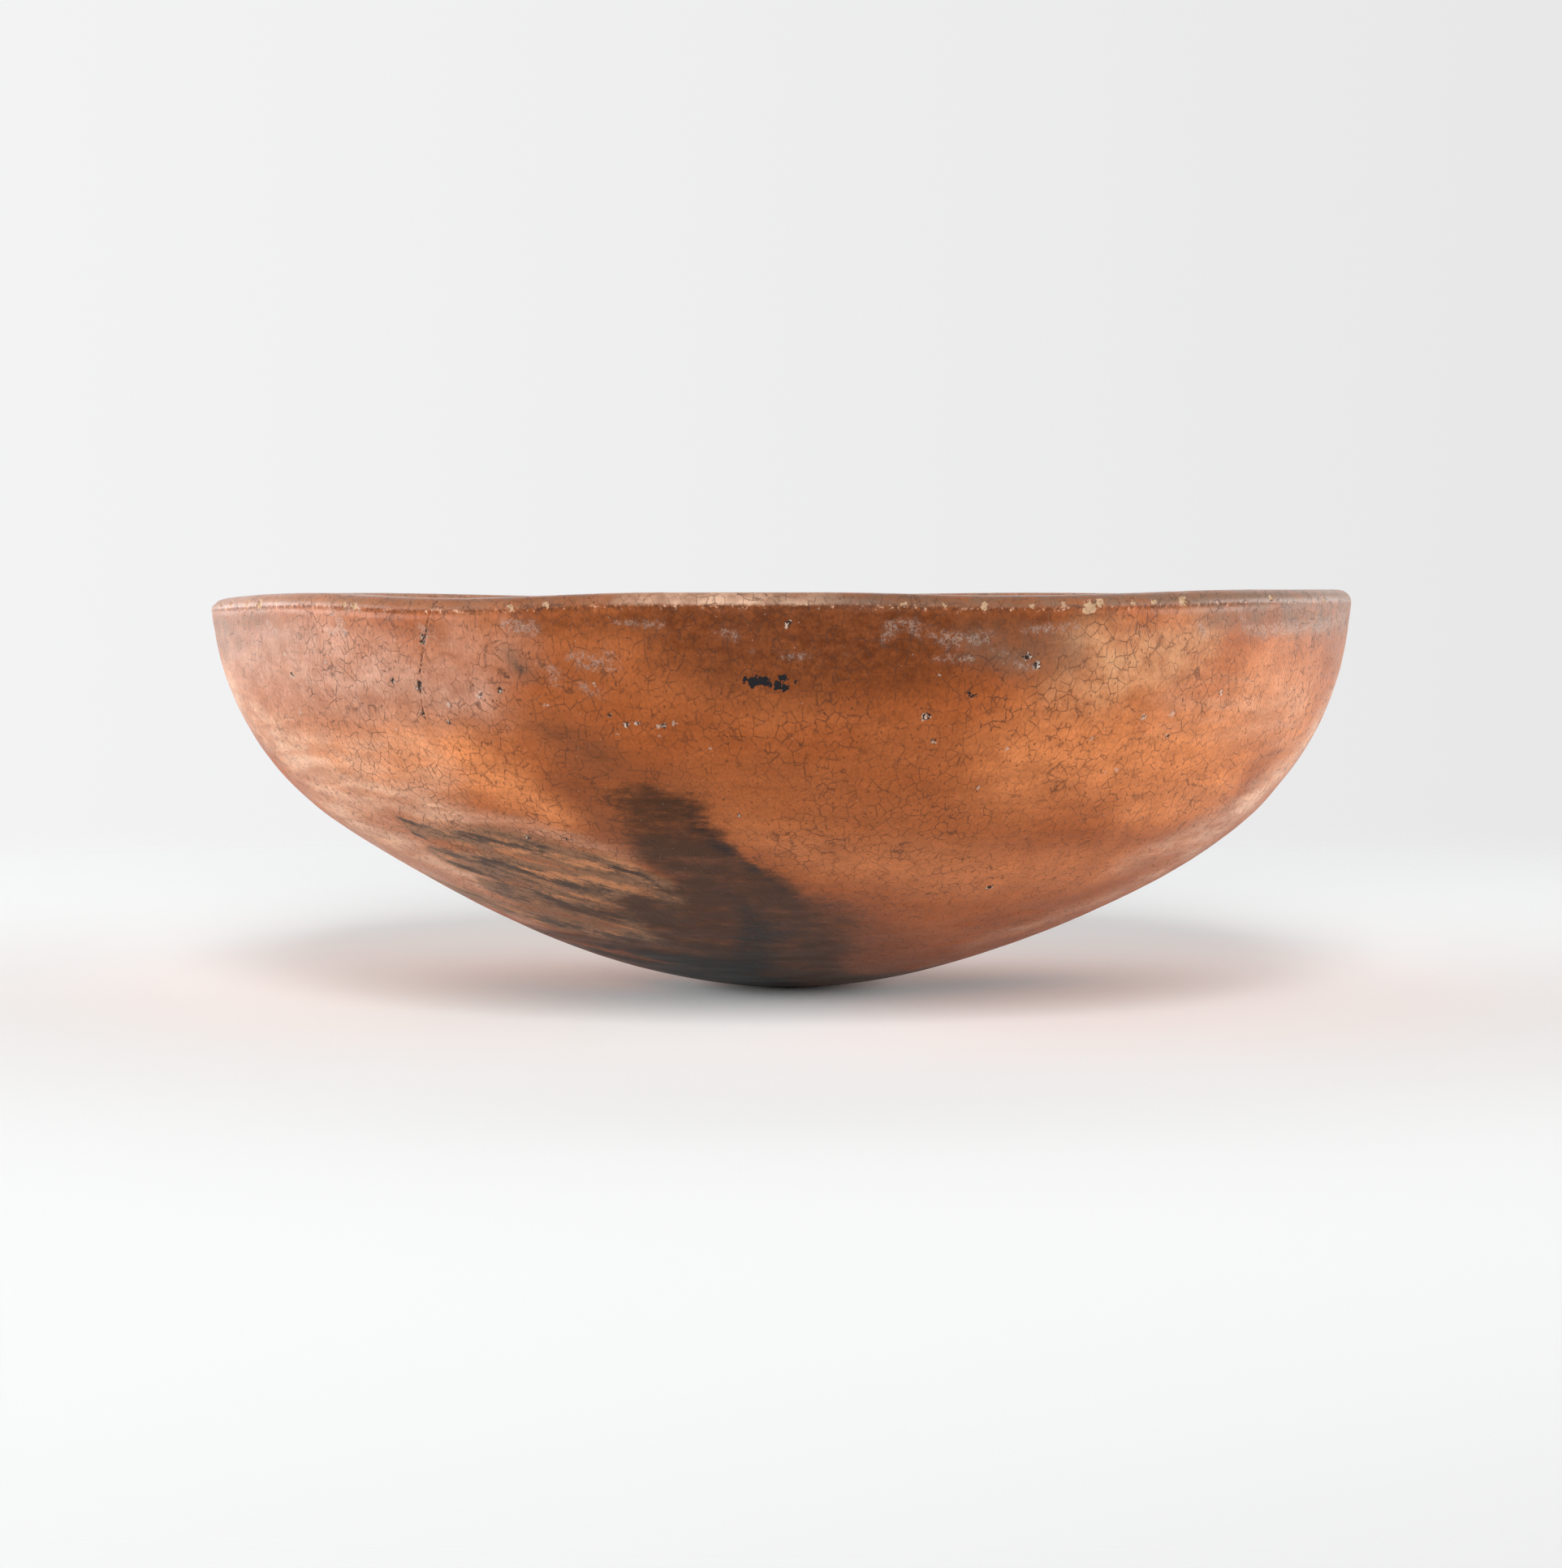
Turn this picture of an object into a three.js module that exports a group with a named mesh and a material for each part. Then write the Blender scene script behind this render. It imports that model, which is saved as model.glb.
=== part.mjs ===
// A hand-built earthenware bowl with a rounded bottom, in millimetres, +Z up.
// The origin is on the floor, under the middle of the rim.
//
// The bowl was built as such bowls are: a disc of clay is pressed into a shallow mould for the
// bottom, flattened coils are added on top of each other for the wall, and a thicker coil
// closes it as the lip. Each course laps down over the inside of the one below, on a film of slip.

import * as THREE from 'three';
import { mergeVertices } from 'three/addons/utils/BufferGeometryUtils.js';

// The whole bowl
const rimDiameter = 360;       // side to side, over the outer crease of the lip
const outOfRound = 3;          // how much less it measures from front to back
const bowlHeight = 125;        // floor to the mean level of the lip

// The outside, from the floor up
const footDiameter = 26;       // flat spot worn on the rounded bottom
const footSlope = 5;           // degrees, where the bottom leaves the floor
const shoulderDiameter = 300;  // where the bottom has turned up by shoulderSlope
const shoulderHeight = 58.5;
const shoulderSlope = 45;      // degrees
const rimSlope = 84;           // degrees, at the outer crease of the lip

// How far each end holds its direction, as shares of the straight line between the ends
const footFullness = 0.42;
const underShoulderFullness = 0.11;
const overShoulderFullness = 0.315;
const rimFullness = 0.45;

// The clay
const baseThickness = 9;
const wallThickness = 7;
const lipThickness = 8.5;
const outerLipRadius = 4;      // rounding from the outer crease to the top
const innerLipRadius = 3;      // rounding from the top to the inside

// The courses, measured along the outside
const basePatDiameter = 140;   // the pressed disc, over its curve
const rimCoilWidth = 20;
const wallCoilCount = 6;
const coilLap = 4;             // how far a course reaches down over the inside of the one below
const slipFilm = 0.3;          // slip between two courses

// The hand-built irregularity
const footLean = 2.2;          // the foot stands this far to the right of the rim's middle
const bellyLean = 3;           // and the belly bulges this much further
const bellyHeight = 38;
const bellySpread = 20;
const waveDepth = 45;          // the lip's waves die out this far down the wall
const lipLevel = 5;            // below the lip by this much, the waves have their full height
// Rises and dips of the lip: degrees round from the front towards the right, and height.
const lipWaves = [
  [-80, -1.2], [-50, 0], [-31, -1.5], [-10, 0], [4, 0], [20, -0.85],
  [52, 1.0], [75, 1.2], [110, -0.3], [150, 0.8], [195, -0.9], [235, 0.6],
];

// The facets
const stepCountAround = 96;
const courseStepCount = 3;
const baseStepCount = 6;
const lipStepCount = 3;

const rimRadius = rimDiameter / 2;
const footRadius = footDiameter / 2;
const creaseHeight = bowlHeight - outerLipRadius;

function direction(degrees) {
  const angle = THREE.MathUtils.degToRad(degrees);
  return new THREE.Vector2(Math.cos(angle), Math.sin(angle));
}

// A curve between two places that leaves and arrives in the given directions.
function sweep(start, startSlope, startFullness, end, endSlope, endFullness) {
  const span = start.distanceTo(end);
  return new THREE.CubicBezierCurve(
    start,
    start.clone().addScaledVector(direction(startSlope), startFullness * span),
    end.clone().addScaledVector(direction(endSlope), -endFullness * span),
    end,
  );
}

// The outside from the edge of the foot to the outer crease of the lip, as (radius, height).
const footEdge = new THREE.Vector2(footRadius, 0);
const shoulder = new THREE.Vector2(shoulderDiameter / 2, shoulderHeight);
const crease = new THREE.Vector2(rimRadius, creaseHeight);
const outside = new THREE.CurvePath();
outside.add(sweep(footEdge, footSlope, footFullness, shoulder, shoulderSlope, underShoulderFullness));
outside.add(sweep(shoulder, shoulderSlope, overShoulderFullness, crease, rimSlope, rimFullness));
const curveLength = outside.getLength();
const outsideLength = footRadius + curveLength;

// A place on the outside, from its distance along the outside to the middle of the foot.
function outsideAt(distance) {
  if (distance <= footRadius) {
    return new THREE.Vector2(distance, 0);
  }
  return outside.getPoint(Math.min(1, (distance - footRadius) / curveLength));
}

function thicknessAt(distance) {
  const { smoothstep } = THREE.MathUtils;
  const rimJoint = outsideLength - rimCoilWidth;
  const wallShare = smoothstep(distance, footRadius, basePatDiameter / 2);
  const lipShare = smoothstep(distance, rimJoint, outsideLength);
  const wall = THREE.MathUtils.lerp(baseThickness, wallThickness, wallShare);
  return THREE.MathUtils.lerp(wall, lipThickness, lipShare);
}

// The place on the inside, straight through the clay from a place on the outside.
function insideAt(distance) {
  const place = outsideAt(distance);
  const thickness = thicknessAt(distance);
  if (distance <= footRadius) {
    return place.add(new THREE.Vector2(0, thickness));
  }
  const along = outside.getTangent(Math.min(1, (distance - footRadius) / curveLength));
  return place.addScaledVector(new THREE.Vector2(-along.y, along.x), thickness);
}

// Places at even steps between two distances, both included.
function placesBetween(from, to, steps, placeAt) {
  return Array.from({ length: steps + 1 }, (_, i) => placeAt(THREE.MathUtils.lerp(from, to, i / steps)));
}

function rounding(centre, radius, fromDegrees, toDegrees) {
  return placesBetween(fromDegrees, toDegrees, lipStepCount, (degrees) =>
    centre.clone().addScaledVector(direction(degrees), radius));
}

// The joints between courses, as distances along the outside. The step from a joint to the
// course's edge leaves the slip film's thickness, measured square to the slanted joint.
const basePatEdge = basePatDiameter / 2;
const rimJoint = outsideLength - rimCoilWidth;
const wallCoilWidth = (rimJoint - basePatEdge) / wallCoilCount;
const joints = Array.from({ length: wallCoilCount + 1 }, (_, i) => basePatEdge + i * wallCoilWidth);
const halfFilm = (slipFilm / 2) * Math.hypot(1, coilLap / wallThickness);

function baseSection() {
  const outer = placesBetween(footRadius, joints[0] - halfFilm, baseStepCount, outsideAt);
  const inner = placesBetween(joints[0] - coilLap - halfFilm, footRadius, baseStepCount, insideAt);
  return [outsideAt(0), ...outer, ...inner, insideAt(0)];
}

function wallSection(from, to) {
  const outer = placesBetween(from + halfFilm, to - halfFilm, courseStepCount, outsideAt);
  const inner = placesBetween(to - coilLap - halfFilm, from - coilLap + halfFilm, courseStepCount, insideAt);
  return [...outer, ...inner, outer[0]];
}

function rimSection(from) {
  const insideRadius = rimRadius - lipThickness;
  const outer = placesBetween(from + halfFilm, outsideLength, courseStepCount, outsideAt);
  const inner = placesBetween(outsideLength, from - coilLap + halfFilm, courseStepCount + 1, insideAt);
  const outerCentre = new THREE.Vector2(rimRadius - outerLipRadius, bowlHeight - outerLipRadius);
  const innerCentre = new THREE.Vector2(insideRadius + innerLipRadius, bowlHeight - innerLipRadius);
  const overLip = rounding(outerCentre, outerLipRadius, 0, 90).slice(1);
  const intoBowl = rounding(innerCentre, innerLipRadius, 90, 180);
  return [...outer, ...overLip, ...intoBowl, ...inner.slice(1), outer[0]];
}

// The lip's rise or dip in a direction, with a smooth turn at each listed place.
function lipWaveAt(degrees) {
  const first = lipWaves[0][0];
  const turned = THREE.MathUtils.euclideanModulo(degrees - first, 360) + first;
  const next = lipWaves.findIndex(([place]) => place > turned);
  const [fromPlace, fromRise] = lipWaves.at(next === -1 ? -1 : next - 1);
  const [toPlace, toRise] = next === -1 ? [first + 360, lipWaves[0][1]] : lipWaves[next];
  const share = (1 - Math.cos((Math.PI * (turned - fromPlace)) / (toPlace - fromPlace))) / 2;
  return THREE.MathUtils.lerp(fromRise, toRise, share);
}

function leanAt(height) {
  const fromBelly = (height - bellyHeight) / bellySpread;
  return footLean * (1 - height / bowlHeight) + bellyLean * Math.exp(-fromBelly * fromBelly);
}

// Moves the places of a true round pot to where the hand-built one has them.
function shapeByHand(geometry) {
  const places = geometry.getAttribute('position');
  const roundness = 1 - outOfRound / rimDiameter;
  for (let i = 0; i < places.count; i += 1) {
    const x = places.getX(i);
    const y = places.getY(i);
    const z = places.getZ(i);
    const degrees = THREE.MathUtils.radToDeg(Math.atan2(x, -y));
    const waveShare = THREE.MathUtils.smoothstep(z, bowlHeight - waveDepth, bowlHeight - lipLevel);
    places.setXYZ(i, x + leanAt(z), y * roundness, z + waveShare * lipWaveAt(degrees));
  }
}

// Leaves out the triangles that have shrunk to a line where a section meets the axis.
function withoutEmptyTriangles(geometry) {
  const corners = geometry.index.array;
  const kept = [];
  for (let i = 0; i < corners.length; i += 3) {
    const [a, b, c] = corners.slice(i, i + 3);
    if (a !== b && b !== c && c !== a) {
      kept.push(a, b, c);
    }
  }
  geometry.setIndex(kept);
  return geometry;
}

// A course of the pot: its section turned once round the upright axis.
function course(name, section, material) {
  const turned = new THREE.LatheGeometry(section, stepCountAround);
  turned.rotateX(Math.PI / 2);
  turned.deleteAttribute('normal');
  turned.deleteAttribute('uv');
  const geometry = withoutEmptyTriangles(mergeVertices(turned));
  shapeByHand(geometry);
  geometry.computeVertexNormals();
  const mesh = new THREE.Mesh(geometry, material);
  mesh.name = name;
  return mesh;
}

const smokedClay = new THREE.MeshStandardMaterial({ color: 0x6b4636, roughness: 0.55, metalness: 0 });
const burnishedClay = new THREE.MeshStandardMaterial({ color: 0xc07a50, roughness: 0.42, metalness: 0 });
const wornLipClay = new THREE.MeshStandardMaterial({ color: 0xb98e70, roughness: 0.6, metalness: 0 });

const bowl = new THREE.Group();
bowl.add(course('base_pat', baseSection(), smokedClay));
for (let i = 0; i < wallCoilCount; i += 1) {
  bowl.add(course(`wall_coil_${i + 1}`, wallSection(joints[i], joints[i + 1]), burnishedClay));
}
bowl.add(course('rim_coil', rimSection(rimJoint), wornLipClay));

export default bowl;
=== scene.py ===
# A hand-built, burnished earthenware bowl with fire clouds, on a pale studio floor.
# The file is laid out as a Blender add-on. Run as a script, it makes every piece in order.
# Sizes are in metres in the settings, and in millimetres and degrees in the lists of marks.

import math
from collections import namedtuple
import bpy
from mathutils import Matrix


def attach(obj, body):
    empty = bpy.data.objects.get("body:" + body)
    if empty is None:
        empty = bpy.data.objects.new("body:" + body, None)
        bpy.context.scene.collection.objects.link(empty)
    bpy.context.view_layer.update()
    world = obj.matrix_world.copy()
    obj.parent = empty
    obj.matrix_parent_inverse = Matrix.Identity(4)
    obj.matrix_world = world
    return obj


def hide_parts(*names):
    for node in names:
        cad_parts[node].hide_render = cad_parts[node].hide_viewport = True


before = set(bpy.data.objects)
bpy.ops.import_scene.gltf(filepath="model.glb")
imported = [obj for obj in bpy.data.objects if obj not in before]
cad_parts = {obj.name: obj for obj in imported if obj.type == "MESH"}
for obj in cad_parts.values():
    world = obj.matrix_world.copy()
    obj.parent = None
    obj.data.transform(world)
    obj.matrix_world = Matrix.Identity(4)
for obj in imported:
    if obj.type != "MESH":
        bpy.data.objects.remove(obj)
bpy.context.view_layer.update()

from types import SimpleNamespace

import bpy
import numpy as np
from mathutils import Vector

bl_info = {
    "name": "Burnished earthenware bowl",
    "version": (1, 0, 0),
    "blender": (4, 5, 0),
    "location": "View3D > Sidebar > Bowl",
    "description": "Makes a coil-built bowl with a burnished slip, fire clouds, crazing and wear",
    "category": "Object",
}

MM = 0.001


def length(name, description, millimetres):
    return bpy.props.FloatProperty(
        name=name, description=description, default=millimetres * MM, unit="LENGTH", precision=4
    )


def angle(name, description, degrees):
    return bpy.props.FloatProperty(
        name=name, description=description, default=math.radians(degrees), subtype="ANGLE"
    )


def share(name, description, value):
    return bpy.props.FloatProperty(
        name=name, description=description, default=value, subtype="FACTOR"
    )


def colour(name, description, red, green, blue):
    return bpy.props.FloatVectorProperty(
        name=name, description=description, default=(red, green, blue), subtype="COLOR", size=3
    )


class BowlSizes(bpy.types.PropertyGroup):
    """The pot's form, as its maker would measure it."""

    rim_diameter: length("Rim diameter", "Side to side, over the lip's outer crease", 360)
    out_of_round: length("Out of round", "How much less it measures from front to back", 3)
    bowl_height: length("Height", "Floor to the mean level of the lip", 125)
    foot_diameter: length("Foot diameter", "Flat spot worn on the rounded bottom", 26)
    foot_slope: angle("Foot slope", "Where the bottom leaves the floor", 5)
    shoulder_diameter: length("Shoulder diameter", "Where the bottom has turned up", 300)
    shoulder_height: length("Shoulder height", "Height of that turn", 58.5)
    shoulder_slope: angle("Shoulder slope", "Slope at that turn", 45)
    rim_slope: angle("Rim slope", "At the outer crease of the lip", 84)
    foot_fullness: share("Foot fullness", "How far the bottom holds its slope", 0.42)
    under_shoulder: share("Fullness under the shoulder", "How far the slope holds", 0.11)
    over_shoulder: share("Fullness over the shoulder", "How far the slope holds", 0.315)
    rim_fullness: share("Rim fullness", "How far the wall holds its slope", 0.45)
    base_thickness: length("Base thickness", "Clay at the foot", 9)
    wall_thickness: length("Wall thickness", "Clay in the wall", 7)
    lip_thickness: length("Lip thickness", "Clay across the lip", 8.5)
    outer_lip_radius: length("Outer lip radius", "From the crease to the top", 4)
    inner_lip_radius: length("Inner lip radius", "From the top to the inside", 3)
    base_pat_diameter: length("Base pat", "The pressed disc, over its curve", 140)
    rim_coil_width: length("Rim coil", "The last coil, along the outside", 20)
    coil_lap: length("Coil lap", "How far a course laps down inside the one below", 4)
    foot_lean: length("Foot lean", "The foot stands this far to the right", 2.2)
    belly_lean: length("Belly lean", "The belly bulges this much further", 3)
    belly_height: length("Belly height", "Middle of the bulge", 38)
    belly_spread: length("Belly spread", "Half width of the bulge", 20)
    wave_depth: length("Wave depth", "The lip's waves die out this far down", 45)
    lip_level: length("Lip level", "Above this depth the waves are full", 5)


class BowlFinish(bpy.types.PropertyGroup):
    """The colours of the fired clay, its slip and what has settled on it."""

    slip: colour("Slip", "Burnished orange-red slip", 0.345, 0.098, 0.027)
    deep_slip: colour("Deep slip", "Slip where it lies thicker", 0.275, 0.062, 0.010)
    # Painted light: this brighter slip stands in for the light falling on the front-left, front-right and
    # lower front of the wall.
    bright_slip: colour("Bright slip", "Slip that had the most air in the fire", 0.64, 0.225, 0.078)
    # The same colour also lays a painted highlight along the lower right of the wall.
    peach: colour("Peach", "Pale bloom beside the fire clouds", 0.66, 0.395, 0.262)
    ochre: colour("Ochre", "Tan patch under the lip", 0.53, 0.28, 0.140)
    # Partly a real stain, partly painted shade that darkens the upper front wall under the lip.
    umber: colour("Umber", "Brown stain under the lip", 0.105, 0.024, 0.003)
    veil: colour("Veil", "Grey-brown film beside the fire clouds", 0.235, 0.120, 0.062)
    streak: colour("Streak", "Paler streaks in that film", 0.53, 0.220, 0.090)
    dust: colour("Dust", "Thin pinkish film on the upper wall", 0.46, 0.262, 0.188)
    haze: colour("Haze", "Reddish brown at the edge of the smoke", 0.185, 0.058, 0.022)
    smoke: colour("Smoke", "Brown body of a fire cloud", 0.050, 0.019, 0.0065)
    soot: colour("Soot", "Dark strands of the smoke's wing", 0.040, 0.027, 0.020)
    char: colour("Char", "Blue-black heart of a fire cloud", 0.009, 0.009, 0.010)
    worn_clay: colour("Worn clay", "Bare clay on the lip and the foot", 0.72, 0.46, 0.32)
    chipped_clay: colour("Chipped clay", "Bare clay in the chips", 0.50, 0.33, 0.20)
    grime: colour("Grime", "Grey-brown dirt of handling", 0.160, 0.098, 0.065)
    crust: colour("Crust", "White mineral crust", 0.47, 0.39, 0.33)
    chalk: colour("Chalk", "Pale grit in the pits", 0.56, 0.46, 0.38)
    crack: colour("Crack", "Dirt in cracks and pores", 0.070, 0.024, 0.011)
    flake: colour("Flake", "Black flakes on the wall", 0.009, 0.009, 0.011)


class BowlStudio(bpy.types.PropertyGroup):
    """The camera, the floor and the air behind the bowl."""

    camera_distance: length("Camera distance", "From the bowl's middle to the lens", 1150)
    eye_height: length("Eye height", "Height of the lens above the floor", 122)
    room_light: share("Room light", "How much the dark room lights the bowl", 0.0)
    paper_light: share("Paper light", "How much the far paper lights the bowl", 0.8)
    paper: colour("Paper", "Colour of the floor", 0.858, 0.868, 0.868)
    fade_start: length("Fade start", "The floor starts to fade this far from the bowl's middle", 300)
    fade_end: length("Fade end", "The floor is gone this far from the bowl's middle", 900)
    # The air behind is darker on the right than on the left: painted shade on the backdrop.
    left_backdrop: colour("Left backdrop", "Colour of the air on the left", 0.896, 0.896, 0.905)
    right_backdrop: colour("Right backdrop", "Colour of the air on the right", 0.807, 0.807, 0.807)


# Rises and dips of the lip: degrees round from the front towards the right, and height.
LIP_WAVES = (
    (-80, -1.2), (-50, 0), (-31, -1.5), (-10, 0), (4, 0), (20, -0.85),
    (52, 1.0), (75, 1.2), (110, -0.3), (150, 0.8), (195, -0.9), (235, 0.6),
)

Stroke = namedtuple("Stroke", "path soft strength inside", defaults=(1.0, False))

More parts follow.
